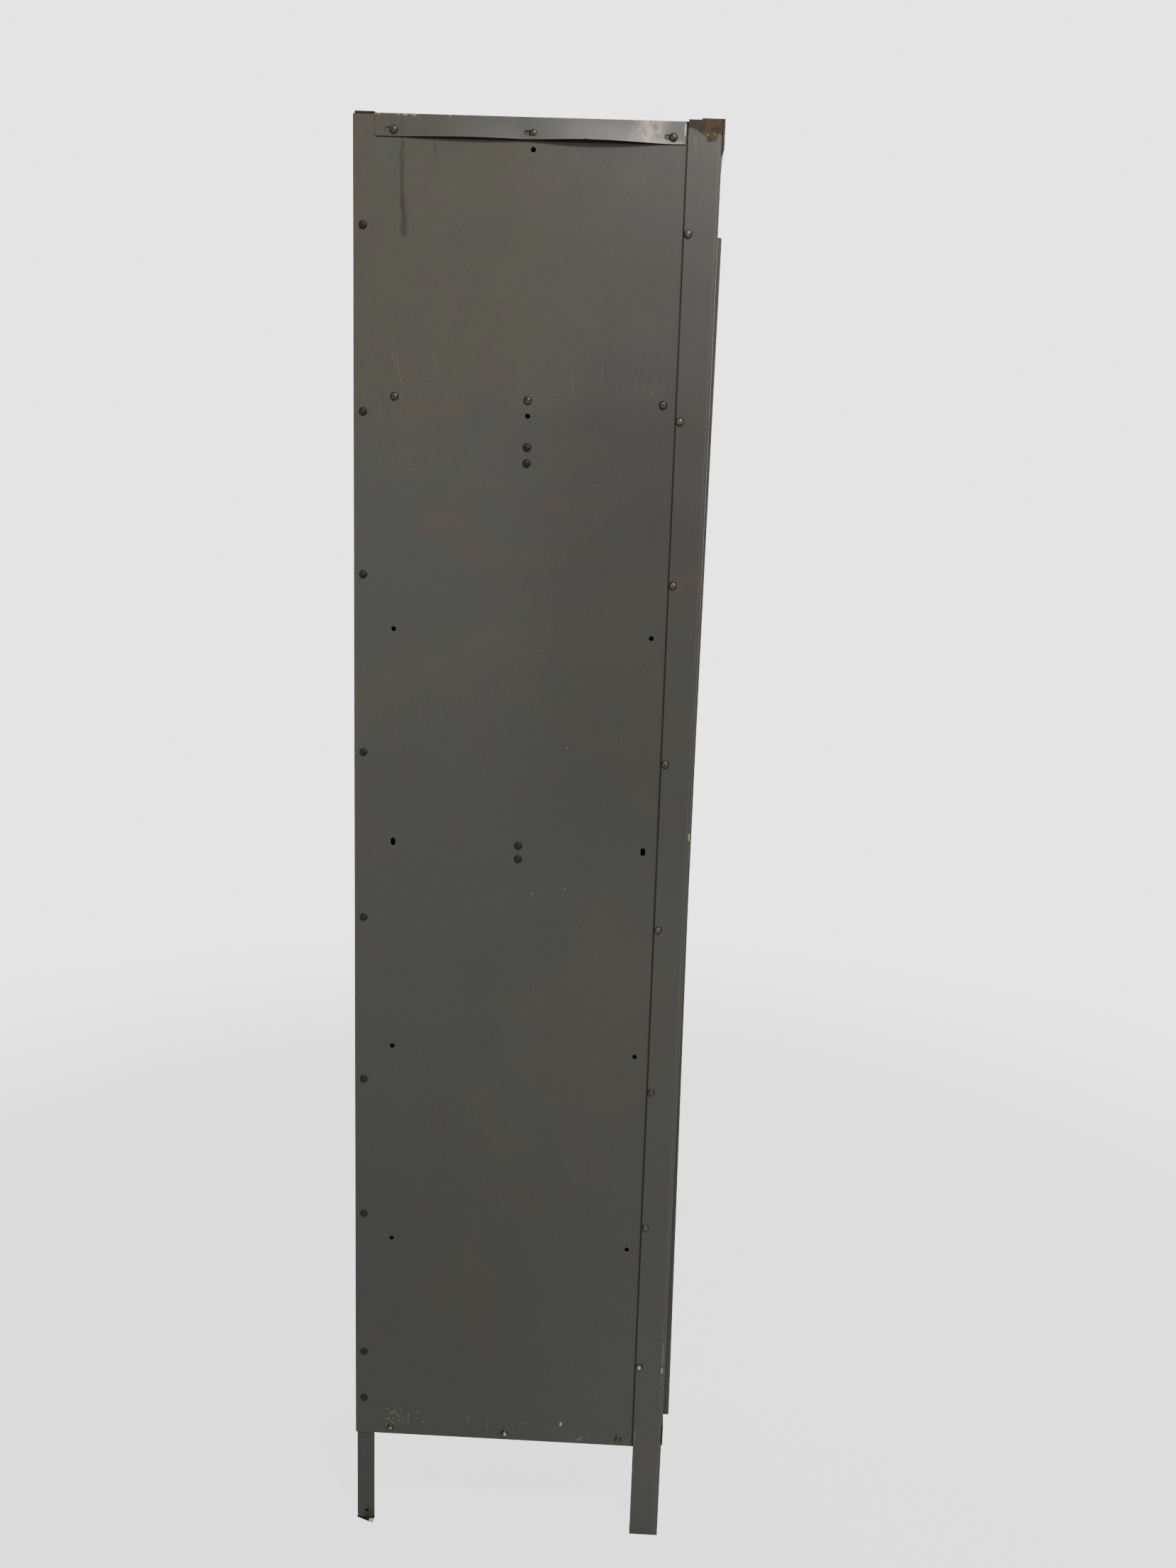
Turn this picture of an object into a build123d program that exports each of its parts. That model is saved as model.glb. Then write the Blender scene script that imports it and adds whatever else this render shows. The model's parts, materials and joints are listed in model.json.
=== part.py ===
"""Single-tier steel locker cabinet: a bolted sheet-metal body on four legs, one door and a lift latch.

Units are millimetres. +Z is up, the door faces -Y and is hinged on its +X side. The origin is on the
floor, under the middle of the object's box. Depths are first given ahead of a datum just inside the
side panels' rear face, and y_at() turns them into Y.
"""

from build123d import *
import os
from math import hypot

# ---- Driving dimensions ----------------------------------------------------------------------------
WIDTH = 304.8  # across the side faces of the front uprights
DEPTH = 457.2  # depth datum to the front face of the uprights
REAR = -2.0  # depth of the side panels' rear face
HEIGHT = 1983.2  # floor to the top of the cap rail
SIDE_HEIGHT = 1831.5
SIDE_BOTTOM = 147.3
SIDE_TOP = SIDE_BOTTOM + SIDE_HEIGHT

FRAME_T = 1.5  # sheet of the front frame, door and corner posts
PANEL_T = 0.9  # sheet of the sides, back, top, floor and shelf
BEND = 0.8  # inside radius of a fold
FIT = 0.1  # gap where one sheet slips past another
POST_GAP = 0.4  # gap from a pan's notch to a corner post

# ---- Fasteners -------------------------------------------------------------------------------------
HOLE_R = 3.2
HEAD_R = 5.4
HEAD_H = 3.2
SHANK_R = 2.4
NUT_T = 3.2
NUT_FLATS_R = 4.5
THREAD_GAP = 0.05
TIP = 0.5  # how far a bolt's tip stands out of its nut

# ---- Front frame, as depths ahead of the datum and heights above the floor --------------------------
UPRIGHT_DEPTH = 42.4
UPRIGHT_FACE = 19.0
STOP_SETBACK = 16.0  # front face of the frame to the front face of the door stop
STOP_WIDTH = 19.4
CAP_T = 1.6
CAP_DEPTH = 26.2
CAP_DROP = 42.2
CAP_FRONT_T = 2.8
CAP_TAPER = (2.2, 7.0)
UPRIGHT_TOP = HEIGHT - CAP_T
FOOT_T = 2.0
SILL_T = 1.6
SILL_BOTTOM = 153.0
SILL_TOP = 184.6
SILL_STOP_TOP = 197.0
HEADER_BOTTOM = 1856.9
HEADER_STOP_DROP = 12.0
REAR_POST_LEG = 26.4

OUTER_X = WIDTH / 2
SIDE_OUT = OUTER_X - FRAME_T  # outer face of a side panel
SIDE_IN = SIDE_OUT - PANEL_T
OPENING_X = OUTER_X - UPRIGHT_FACE
STOP_X = OPENING_X - STOP_WIDTH
STOP_FRONT = DEPTH - STOP_SETBACK
SEAM = DEPTH - UPRIGHT_DEPTH  # rear edge of an upright's side face

# ---- Door ------------------------------------------------------------------------------------------
DOOR_PROUD = 3.0
DOOR_GAP = 3.4
DOOR_BOTTOM = 187.0
DOOR_TOP = 1852.4
DOOR_X = OPENING_X - DOOR_GAP
DOOR_FRONT = DEPTH + DOOR_PROUD
DOOR_FLANGE = 16.0
DOOR_BACK = DOOR_FRONT - DOOR_FLANGE
DOOR_LIP = 12.0
LATCH_LIP = 5.0

LOUVRES = 7
LOUVRE_PITCH = 22.0
LOUVRE_HALF = 60.0
LOUVRE_GAP = 7.0
LOUVRE_REACH = 8.0
LOUVRE_T = 1.0
LOUVRE_STARTS = (264.4, 1650.4)

STIFFENER_X = (74.0, 96.0)
STIFFENER_FLANGE = 8.0
STIFFENER_T = 1.0
STIFFENER_BACK = DOOR_BACK + 3.5
STIFFENER_Z = (213.0, 1826.4)

# ---- Hinges ----------------------------------------------------------------------------------------
KNUCKLE_R = 4.0
PIN_R = 1.95
PIN_GAP = 0.05
PIN_HEAD_R = 3.2
PIN_HEAD_H = 1.4
KNUCKLE_GAP = 0.3
HINGE_GAP = 0.4
HINGE_T = 1.5
HINGE_LENGTH = 64.0
KNUCKLES = 5
HINGE_LEAF = 17.2
HINGE_DOOR_LEAF = 15.6
HINGES = {"upper": 1690.0, "middle": 1024.0, "lower": 358.0}
AXIS_X = DOOR_X + KNUCKLE_R + HINGE_GAP
AXIS_DEPTH = DEPTH + KNUCKLE_R + HINGE_GAP

# ---- Latch -----------------------------------------------------------------------------------------
LATCH_Z = 1080.0
KEEPERS = {"upper": 1640.0, "middle": LATCH_Z, "lower": 420.0}
KEEPER_T = 2.5
KEEPER_HALF = 11.0
KEEPER_DEPTHS = (436.0, 456.0)
LIFT = 12.0
BAR_X = (-118.0, -99.0)
BAR_T = 1.5
BAR_BACK = 447.0
BAR_DEPTH = 4.5
BAR_Z = (250.0, 1796.0)
SLOT_X = (-116.0, -109.2)
SLOT_ROOM = 2.0
GUIDES = (300.0, 760.0, 1300.0, 1750.0)
GUIDE_HALF = 9.0
GUIDE_CLEAR = 0.3
GUIDE_T = 2.1
BUMPERS = (280.0, 900.0, 1560.0)
BUMPER_R = 4.8
BUMPER_T = 2.6

CUP_X = (-90.0, -40.0)
CUP_Z = (1012.0, 1150.0)
CUP_T = 1.0
CUP_BACK = 448.0
CUP_RIM = 6.0
CUP_RIM_T = 1.2
CUP_CORNER = 5.0
CUP_FIT = 0.5
EYE_R = 4.0
EYE_HALF = 9.0
EYE_T = 2.0
EYE_Z = 1038.0
EYE_DEPTH = 455.5
EYE_X = -55.0  # middle of the fixed eye
EYE_STEP = 4.4  # from the fixed eye to the one on the trigger
LINK_X = (-108.6, -58.0)
LINK_T = 1.7
LINK_HALF = 8.0
STEM_X = (-71.0, -61.0)
STEM_HALF = 5.0
TAB_X = (-82.0, -50.0)
TAB_T = 2.0
TAB_FRONT = 459.5
LINK_RIVET_R = 1.6
LINK_RIVETS = (-4.5, 4.5)
CLIP_T = 0.8
CLIP_X = (-115.4, -110.4)
CLIP_LENGTH = 30.0

# ---- Side panel fasteners: depths ahead of the datum, and drops below the side's top edge ------------
REAR_BOLT_DEPTH = 10.9
FRONT_BOLT_DEPTH = 419.6
REAR_COLUMN = 51.6
MIDDLE_COLUMN = 223.8
FRONT_COLUMN = 394.2
TOP_COLUMNS = (50.0, 223.8, 396.6)
SHELF_COLUMNS = (51.6, 223.5, 397.2)
FLOOR_COLUMNS = (50.0, 222.0, 392.5)
EDGE_DROPS = (130.0, 356.0, 563.0, 800.0, 1031.0, 1269.0, 1476.0, 1698.0)
LAST_REAR_DROP = 1774.0
TOP_BOLT_DROP = 18.5
SHELF_DROP = 336.0
SPARE_SHELF_DROPS = (632.7, 1217.2, 1512.3)
HALF_SHELF_DROP = 922.0  # the two slots at half height
SLOT_LENGTH = 10.6
FLOOR_BOLT_DROP = 1821.8
SINGLE_HOLE_DROPS = (36.8, 355.1)
HOOK_DROPS = {"upper": (394.0, 414.0), "lower": (920.7, 939.3)}
SIDE_FRONT = 430.0  # hidden front edge of a side panel, inside the upright
SIDE_REAR_FLANGE = 22.0
BACK_BOLT_INSET = 14.0
BACK_FLANGE = 20.1

# ---- Top, floor and shelf --------------------------------------------------------------------------
TOP_FLANGE_START = 26.0
TOP_FLANGE_END = 412.0
TOP_FLANGE_DROP = 26.0
TOP_HEM_T = 2.4  # raised hem along the rear edge of the top
TOP_SLOT_LENGTH = 15.0
TOP_FRONT = 439.0
FLOOR_TOP = 166.7
SHELF_TOP = SIDE_TOP - SHELF_DROP + 10.0
PAN_START = 28.0  # where a pan's side flanges start, ahead of the corner posts
SHELF_FRONT = 434.0
SHELF_FLANGE = 20.0
FLOOR_FLANGE = 15.3

# ---- Hooks, plate and feet -------------------------------------------------------------------------
HOOK_PLATE = (2.0, 16.0, 40.0)
HOOK_ROD_R = 3.0
HOOK_BALL_R = 5.5
HOOK_REACH = 30.0
HOOK_RISE = 26.0
HOOK_BEND = 9.0
SHELF_HOOK_DEPTH = 223.8
SHELF_HOOK_SPREAD = 22.0
SHELF_HOOK_DROP = 30.0
PLATE_SIZE = (60.0, 0.8, 26.0)
PLATE_Z = 1895.0
PLATE_RIVET_X = 25.0
PLATE_RIVET_R = 2.2
ANCHOR_R = 4.0
ANCHOR_X = 141.5
FRONT_ANCHOR = 436.0
REAR_ANCHOR = 9.5
LEG_HOLE_DEPTH = 14.5
LEG_HOLE_Z = 12.0
LUG_OUT = 10.0  # how far a rear foot reaches out past the corner post, at its front end

# ---- Where the datum is in Y, so that the origin is under the middle of the box ---------------------
FRONT_MOST = AXIS_DEPTH + KNUCKLE_R
Y_DATUM = (FRONT_MOST + REAR - HEAD_H) / 2


def y_at(depth):
    """Y of a plane that is this far ahead of the datum."""
    return Y_DATUM - depth


def drop_z(drop):
    """Height of a point this far below the side panels' top edge."""
    return SIDE_TOP - drop


def block(x, depth, z):
    """A box from (low, high) pairs in X, depth and Z."""
    size = [abs(pair[1] - pair[0]) for pair in (x, depth, z)]
    middle = (sum(x) / 2, y_at(sum(depth) / 2), sum(z) / 2)
    return Pos(*middle) * Box(*size)


def left_offset(path, distance):
    """The same path moved to its left, with mitred corners."""
    lines = []
    for (ax, ay), (bx, by) in zip(path, path[1:]):
        run = hypot(bx - ax, by - ay)
        dx, dy = (bx - ax) / run, (by - ay) / run
        lines.append(((ax - dy * distance, ay + dx * distance), (dx, dy), run))
    moved = [lines[0][0]]
    for (p, d, _), (q, e, _) in zip(lines, lines[1:]):
        cross = d[0] * e[1] - d[1] * e[0]
        along = ((q[0] - p[0]) * e[1] - (q[1] - p[1]) * e[0]) / cross
        moved.append((p[0] + d[0] * along, p[1] + d[1] * along))
    p, d, run = lines[-1]
    moved.append((p[0] + d[0] * run, p[1] + d[1] * run))
    return moved


def folded_section(path, thickness):
    """A face: sheet of this thickness on the left of the path, with rounded folds."""
    inner = left_offset(path, thickness)
    face = make_face(Polyline(*path, *reversed(inner), close=True)).face()
    for before, here, after, across in zip(path, path[1:], path[2:], inner[1:]):
        turn = (here[0] - before[0]) * (after[1] - here[1]) - (here[1] - before[1]) * (after[0] - here[0])
        tight, wide = (across, here) if turn > 0 else (here, across)
        for point, radius in ((tight, BEND), (wide, BEND + thickness)):
            corner = face.vertices().sort_by_distance(Vector(*point))[0]
            face = face.fillet_2d(radius, [corner])
    return face


def upright_sheet(path, thickness, z):
    """Folded sheet that stands along Z. The path holds (x, depth) points."""
    section = folded_section([(x, y_at(depth)) for x, depth in path], thickness)
    return Pos(0, 0, z[0]) * extrude(section, z[1] - z[0], dir=(0, 0, 1))


def cross_sheet(path, thickness, x):
    """Folded sheet that runs along X. The path holds (depth, z) points, seen from +X."""
    section = folded_section([(y_at(depth), z) for depth, z in path], thickness)
    return extrude(Plane.YZ.offset(x[0]) * section, x[1] - x[0], dir=(1, 0, 0))


def rod(start, along, radius, length):
    """A round bar from a point in a direction."""
    return extrude(Plane(start, z_dir=along) * Circle(radius), length)


def side_hole(depth, z, radius=HOLE_R):
    """A cutter through everything at the left side wall."""
    return rod((-OUTER_X - 5, y_at(depth), z), (1, 0, 0), radius, 14)


def side_slot(depth, z, length, vertical):
    """A cutter for a slot with round ends in the left side wall."""
    turn = 0 if vertical else 90
    outline = Rot(0, 0, 90 + turn) * SlotOverall(length, 2 * HOLE_R)
    return extrude(Plane((-OUTER_X - 5, y_at(depth), z), x_dir=(0, 1, 0), z_dir=(1, 0, 0)) * outline, 14)


def mirrored(shape):
    """The right-hand twin of a left-hand piece."""
    return mirror(shape, about=Plane.YZ)


# ---- Fastener solids -------------------------------------------------------------------------------
def bolt(start, outward, grip):
    """A round-head bolt. start is under the head; the nut sits grip further in."""
    length = grip + NUT_T + TIP
    outline = Line((0, -length), (0, HEAD_H))
    outline += TangentArc((0, HEAD_H), (HEAD_R, 0), tangent=(1, 0))
    outline += Polyline((HEAD_R, 0), (SHANK_R, 0), (SHANK_R, -length), (0, -length))
    turned = revolve(Plane.XZ * make_face(outline), Axis.Z, 360)
    return Plane(start, z_dir=outward) * turned


def nut(start, outward, grip):
    """The hexagon nut of the same bolt."""
    ring = RegularPolygon(NUT_FLATS_R, 6, major_radius=False) - Circle(SHANK_R + THREAD_GAP)
    return Plane(start, z_dir=outward) * Pos(0, 0, -grip - NUT_T) * extrude(ring, NUT_T)


def side_fasteners():
    """Left-side bolts by group: (start point, outward direction, grip)."""

    def at(x, depth, z, inner):
        return ((-x, y_at(depth), z), (-1, 0, 0), x - inner)

    post_in = SIDE_IN - PANEL_T - FRAME_T
    groups = {
        "upright": [at(OUTER_X, FRONT_BOLT_DEPTH, drop_z(d), SIDE_IN) for d in EDGE_DROPS],
        "rear_edge": [
            at(SIDE_OUT, REAR_BOLT_DEPTH, drop_z(d), post_in) for d in (*EDGE_DROPS, LAST_REAR_DROP)
        ],
        "top": [at(SIDE_OUT + PANEL_T, c, drop_z(TOP_BOLT_DROP), SIDE_IN) for c in TOP_COLUMNS],
        "shelf": [at(SIDE_OUT, c, drop_z(SHELF_DROP), SIDE_IN - PANEL_T) for c in SHELF_COLUMNS],
        "floor": [at(SIDE_OUT, c, drop_z(FLOOR_BOLT_DROP), SIDE_IN - PANEL_T) for c in FLOOR_COLUMNS],
        "hook": [
            at(SIDE_OUT, MIDDLE_COLUMN, drop_z(d), SIDE_IN - HOOK_PLATE[0])
            for pair in HOOK_DROPS.values()
            for d in pair
        ],
    }
    return groups


def back_bolt_places():
    """(x, z) of the bolts through the back, half way between the side's rear bolts."""
    rows = [drop_z(d) for d in EDGE_DROPS]
    heights = [(a + b) / 2 for a, b in zip(rows, rows[1:])]
    x = SIDE_OUT - BACK_BOLT_INSET
    return [(sign * x, z) for sign in (-1, 1) for z in heights]


# ---- Body panels -----------------------------------------------------------------------------------
def side_holes():
    """Every hole in the left side panel."""
    cuts = [side_hole(REAR_BOLT_DEPTH, drop_z(d)) for d in (*EDGE_DROPS, LAST_REAR_DROP)]
    cuts += [side_hole(FRONT_BOLT_DEPTH, drop_z(d)) for d in EDGE_DROPS]
    cuts += [side_hole(c, drop_z(TOP_BOLT_DROP)) for c in TOP_COLUMNS]
    cuts += [side_hole(c, drop_z(SHELF_DROP)) for c in SHELF_COLUMNS]
    cuts += [side_hole(c, drop_z(FLOOR_BOLT_DROP)) for c in FLOOR_COLUMNS]
    cuts += [side_hole(c, drop_z(d)) for c in (REAR_COLUMN, FRONT_COLUMN) for d in SPARE_SHELF_DROPS]
    cuts += [side_hole(MIDDLE_COLUMN, drop_z(d)) for d in SINGLE_HOLE_DROPS]
    cuts += [side_hole(MIDDLE_COLUMN, drop_z(d)) for pair in HOOK_DROPS.values() for d in pair]
    cuts += [side_slot(c, drop_z(HALF_SHELF_DROP), SLOT_LENGTH, True) for c in (REAR_COLUMN, FRONT_COLUMN)]
    return cuts


def side_panel():
    """Left side: flat sheet with a short flange round the rear corner."""
    path = [(-SIDE_OUT + SIDE_REAR_FLANGE, REAR), (-SIDE_OUT, REAR), (-SIDE_OUT, SIDE_FRONT)]
    sheet = upright_sheet(path, PANEL_T, (SIDE_BOTTOM, SIDE_TOP - BEND))
    cuts = [rod((x, y_at(REAR - 1), z), (0, -1, 0), HOLE_R, 4) for x, z in back_bolt_places() if x < 0]
    return sheet - (side_holes() + cuts)


def back_panel():
    """Back sheet with a flange inside each side panel."""
    face = REAR + PANEL_T
    path = [
        (-SIDE_IN, face + BACK_FLANGE),
        (-SIDE_IN, face),
        (SIDE_IN, face),
        (SIDE_IN, face + BACK_FLANGE),
    ]
    sheet = upright_sheet(list(reversed(path)), PANEL_T, (SIDE_BOTTOM, SIDE_TOP))
    cuts = [rod((x, y_at(REAR), z), (0, -1, 0), HOLE_R, 4) for x, z in back_bolt_places()]
    left = [side_hole(REAR_BOLT_DEPTH, drop_z(d)) for d in (*EDGE_DROPS, LAST_REAR_DROP)]
    return sheet - (cuts + left + [mirrored(cut) for cut in left])


def rear_post():
    """Left rear corner post and leg: an angle inside the back's corner, with its anchor hole."""
    x = SIDE_IN - PANEL_T
    back = REAR + 2 * PANEL_T
    path = [(-x + REAR_POST_LEG, back), (-x, back), (-x, back + REAR_POST_LEG)]
    angle = upright_sheet(path, FRAME_T, (FOOT_T, SIDE_TOP))
    cuts = [side_hole(REAR_BOLT_DEPTH, drop_z(d)) for d in (*EDGE_DROPS, LAST_REAR_DROP)]
    cuts += [rod((bx, y_at(REAR), z), (0, -1, 0), HOLE_R, 6) for bx, z in back_bolt_places() if bx < 0]
    cuts.append(side_hole(LEG_HOLE_DEPTH, LEG_HOLE_Z))
    return angle - cuts


def pan(top, flange, front, front_x):
    """A sheet with flanges turned down: both sides, front and back, notched round the posts."""
    x = SIDE_IN
    notch_x = SIDE_IN - PANEL_T - FRAME_T - POST_GAP
    rear = REAR + 2 * PANEL_T + FRAME_T + POST_GAP
    low, sheet_z = top - flange, (top - PANEL_T, top)
    body = block((-x, x), (PAN_START, front), sheet_z)
    body += block((-notch_x, notch_x), (rear, PAN_START), sheet_z)
    for sign in (-1, 1):
        body += block((sign * x, sign * (x - PANEL_T)), (PAN_START, front), (low, top))
    half_back = SIDE_IN - PANEL_T - REAR_POST_LEG - FIT
    body += block((-half_back, half_back), (rear, rear + PANEL_T), (low, top))
    body += block((-front_x, front_x), (front - PANEL_T, front), (low, top))
    return body


def hat_shelf():
    """The fixed shelf, with its bolt holes and the two for the hook under it."""
    body = pan(SHELF_TOP, SHELF_FLANGE, SHELF_FRONT, SIDE_IN)
    left = [side_hole(c, drop_z(SHELF_DROP)) for c in SHELF_COLUMNS]
    cuts = left + [mirrored(cut) for cut in left]
    cuts += [rod((x, y_at(SHELF_HOOK_DEPTH), SHELF_TOP + 1), (0, 0, -1), HOLE_R, 4) for x in (-12, 12)]
    return body - cuts


def floor_panel():
    """The floor pan."""
    body = pan(FLOOR_TOP, FLOOR_FLANGE, TOP_FRONT, STOP_X)
    left = [side_hole(c, drop_z(FLOOR_BOLT_DROP)) for c in FLOOR_COLUMNS]
    return body - (left + [mirrored(cut) for cut in left])


def top_panel():
    """The top, with a slotted flange down the outside of each side panel."""
    z = (SIDE_TOP, SIDE_TOP + PANEL_T)
    path = [
        (-SIDE_OUT - PANEL_T, SIDE_TOP - TOP_FLANGE_DROP),
        (-SIDE_OUT - PANEL_T, z[1]),
        (SIDE_OUT + PANEL_T, z[1]),
        (SIDE_OUT + PANEL_T, SIDE_TOP - TOP_FLANGE_DROP),
    ]
    section = folded_section(list(reversed(path)), PANEL_T)
    body = extrude(Plane.XZ.offset(-y_at(TOP_FLANGE_START)) * section, TOP_FLANGE_END - TOP_FLANGE_START)
    body += block((-SIDE_OUT, SIDE_OUT), (REAR + 2.6, TOP_FLANGE_START), (SIDE_TOP, SIDE_TOP + TOP_HEM_T))
    body += block((-SIDE_OUT + FIT, SIDE_OUT - FIT), (TOP_FLANGE_END, TOP_FRONT), z)
    left = [side_slot(c - 4.0, drop_z(TOP_BOLT_DROP), TOP_SLOT_LENGTH, False) for c in TOP_COLUMNS]
    return body - (left + [mirrored(cut) for cut in left])


# ---- Front frame -----------------------------------------------------------------------------------
def upright():
    """Left front upright and leg: side face, front face and return, and a door stop along the opening."""
    corner = [(-OUTER_X, SEAM), (-OUTER_X, DEPTH), (-OPENING_X, DEPTH)]
    body = upright_sheet([*corner, (-OPENING_X, STOP_FRONT)], FRAME_T, (FOOT_T, UPRIGHT_TOP))
    stop_depths = (STOP_FRONT - FRAME_T, STOP_FRONT)
    body += block((-OPENING_X - FRAME_T, -STOP_X), stop_depths, (SILL_BOTTOM, HEADER_BOTTOM))
    return body - [side_hole(FRONT_BOLT_DEPTH, drop_z(d)) for d in EDGE_DROPS]


def cap_rail():
    """The hemmed strip over the top of the frame: a flat top and a front drop with a tapered edge."""
    front = DEPTH + CAP_FRONT_T
    low = HEIGHT - CAP_DROP
    outline = [
        (DEPTH - CAP_DEPTH, HEIGHT),
        (front, HEIGHT),
        (front, low + CAP_TAPER[1]),
        (front - CAP_TAPER[0], low),
        (DEPTH, low),
        (DEPTH, UPRIGHT_TOP),
        (DEPTH - CAP_DEPTH, UPRIGHT_TOP),
    ]
    face = make_face(Polyline(*[(y_at(depth), z) for depth, z in outline], close=True)).face()
    corner = face.vertices().sort_by_distance(Vector(y_at(front), HEIGHT))[0]
    face = face.fillet_2d(BEND, [corner])
    return extrude(Plane.YZ.offset(-OUTER_X) * face, WIDTH, dir=(1, 0, 0))


def header_panel():
    """The fixed panel over the door, with a return over the door and a stop behind it."""
    path = [
        (DEPTH - STOP_SETBACK, UPRIGHT_TOP),
        (DEPTH, UPRIGHT_TOP),
        (DEPTH, HEADER_BOTTOM),
        (STOP_FRONT, HEADER_BOTTOM),
    ]
    body = cross_sheet(path, FRAME_T, (-OPENING_X, OPENING_X))
    stop_z = (HEADER_BOTTOM - HEADER_STOP_DROP, HEADER_BOTTOM + FRAME_T)
    body += block((-STOP_X, STOP_X), (STOP_FRONT - FRAME_T, STOP_FRONT), stop_z)
    return body - [number_plate_rod(sign) for sign in (-1, 1)]


def sill_rail():
    """The bottom rail: a face over the uprights, a return under the door and a stop behind it."""
    front = DEPTH + SILL_T
    body = block((-OUTER_X, OUTER_X), (DEPTH, front), (SILL_BOTTOM, SILL_TOP))
    body += block((-OPENING_X, OPENING_X), (STOP_FRONT, front), (SILL_TOP - SILL_T, SILL_TOP))
    stop_z = (SILL_TOP - SILL_T, SILL_STOP_TOP)
    body += block((-STOP_X, STOP_X), (STOP_FRONT - FRAME_T, STOP_FRONT), stop_z)
    return body


def front_foot():
    """Foot plate that closes the left front leg."""
    plate = block((-OUTER_X, -OPENING_X), (SEAM, DEPTH), (0, FOOT_T))
    return plate - rod((-ANCHOR_X, y_at(FRONT_ANCHOR), -1), (0, 0, 1), ANCHOR_R, FOOT_T + 2)


def rear_foot():
    """Foot lug under the left rear post: cut back inside, splayed outwards towards its front end."""
    x = SIDE_IN - PANEL_T
    back = REAR + 2 * PANEL_T
    outline = [
        (-x, back),
        (-x + REAR_POST_LEG, back),
        (-x + 2 * FRAME_T, back + REAR_POST_LEG),
        (-x - LUG_OUT, back + REAR_POST_LEG),
    ]
    face = make_face(Polyline(*[(px, y_at(depth)) for px, depth in outline], close=True))
    plate = extrude(face, FOOT_T, dir=(0, 0, 1))
    return plate - rod((-ANCHOR_X, y_at(REAR_ANCHOR), -1), (0, 0, 1), ANCHOR_R, FOOT_T + 2)


def number_plate_rod(sign, radius=PLATE_RIVET_R + THREAD_GAP):
    """A round bar where a rivet of the number plate goes."""
    return rod((sign * PLATE_RIVET_X, y_at(DEPTH + 3), PLATE_Z), (0, 1, 0), radius, 8)


def number_plate():
    """Blank plate on the header."""
    half_x, thick, half_z = PLATE_SIZE[0] / 2, PLATE_SIZE[1], PLATE_SIZE[2] / 2
    z = (PLATE_Z - half_z, PLATE_Z + half_z)
    plate = block((-half_x, half_x), (DEPTH, DEPTH + thick), z)
    plate = fillet(plate.edges().filter_by(Axis.Y), 3.0)
    return plate - [number_plate_rod(sign) for sign in (-1, 1)]


def plate_rivets():
    """The number plate's two rivets."""
    front = DEPTH + PLATE_SIZE[1]
    solids = []
    for sign in (-1, 1):
        start = (sign * PLATE_RIVET_X, y_at(front), PLATE_Z)
        shank = rod(start, (0, 1, 0), PLATE_RIVET_R, PLATE_SIZE[1] + FRAME_T + 0.8)
        head = rod(start, (0, -1, 0), PLATE_RIVET_R * 1.7, 1.0)
        head = fillet(head.edges().group_by(Axis.Y)[0], 0.6)
        solids.append(shank + head)
    return solids


def door_bumpers():
    """Rubber buttons on the latch-side door stop."""
    x = -(OPENING_X + STOP_X) / 2
    buttons = []
    for z in BUMPERS:
        button = rod((x, y_at(STOP_FRONT), z), (0, -1, 0), BUMPER_R, BUMPER_T)
        buttons.append(fillet(button.edges().group_by(Axis.Y)[0], 0.8))
    return buttons


def keeper(z):
    """A keeper plate on the edge of the left door stop, with a mouth in its upper edge."""
    x = (-STOP_X, -STOP_X + KEEPER_T)
    plate = block(x, KEEPER_DEPTHS, (z - KEEPER_HALF, z + KEEPER_HALF))
    mouth = block((x[0] - 1, x[1] + 1), (BAR_BACK - 1.5, BAR_BACK + 3.0), (z + 3.0, z + KEEPER_HALF + 1))
    nose = plate.edges().filter_by(Axis.X).group_by(Axis.Y)[0]
    return chamfer(nose, 5.0) - mouth


# ---- Hooks -----------------------------------------------------------------------------------------
def prong(path):
    """A round prong along a path of points, with a ball at its end."""
    line = FilletPolyline(*path, radius=HOOK_BEND)
    start = Vector(*path[0])
    bar = sweep(Plane(start, z_dir=line % 0) * Circle(HOOK_ROD_R), path=line)
    return bar + Pos(*path[-1]) * Sphere(HOOK_BALL_R)


def wall_hook(drops):
    """Coat hook on the left wall: a plate held by two bolts, and one prong."""
    thick, wide, tall = HOOK_PLATE
    centre = drop_z(sum(drops) / 2)
    depths = (MIDDLE_COLUMN - wide / 2, MIDDLE_COLUMN + wide / 2)
    plate = block((-SIDE_IN, -SIDE_IN + thick), depths, (centre - tall / 2 - 6, centre + tall / 2))
    plate = fillet(plate.edges().filter_by(Axis.X), 4.0)
    root = centre - tall / 2 + 0.5
    y = y_at(MIDDLE_COLUMN)
    x = -SIDE_IN + thick
    hook = plate + prong([(x - 0.5, y, root), (x + HOOK_REACH, y, root - 6), (x + HOOK_REACH + 6, y, root + HOOK_RISE)])
    return hook - [side_hole(MIDDLE_COLUMN, drop_z(d)) for d in drops]


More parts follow.
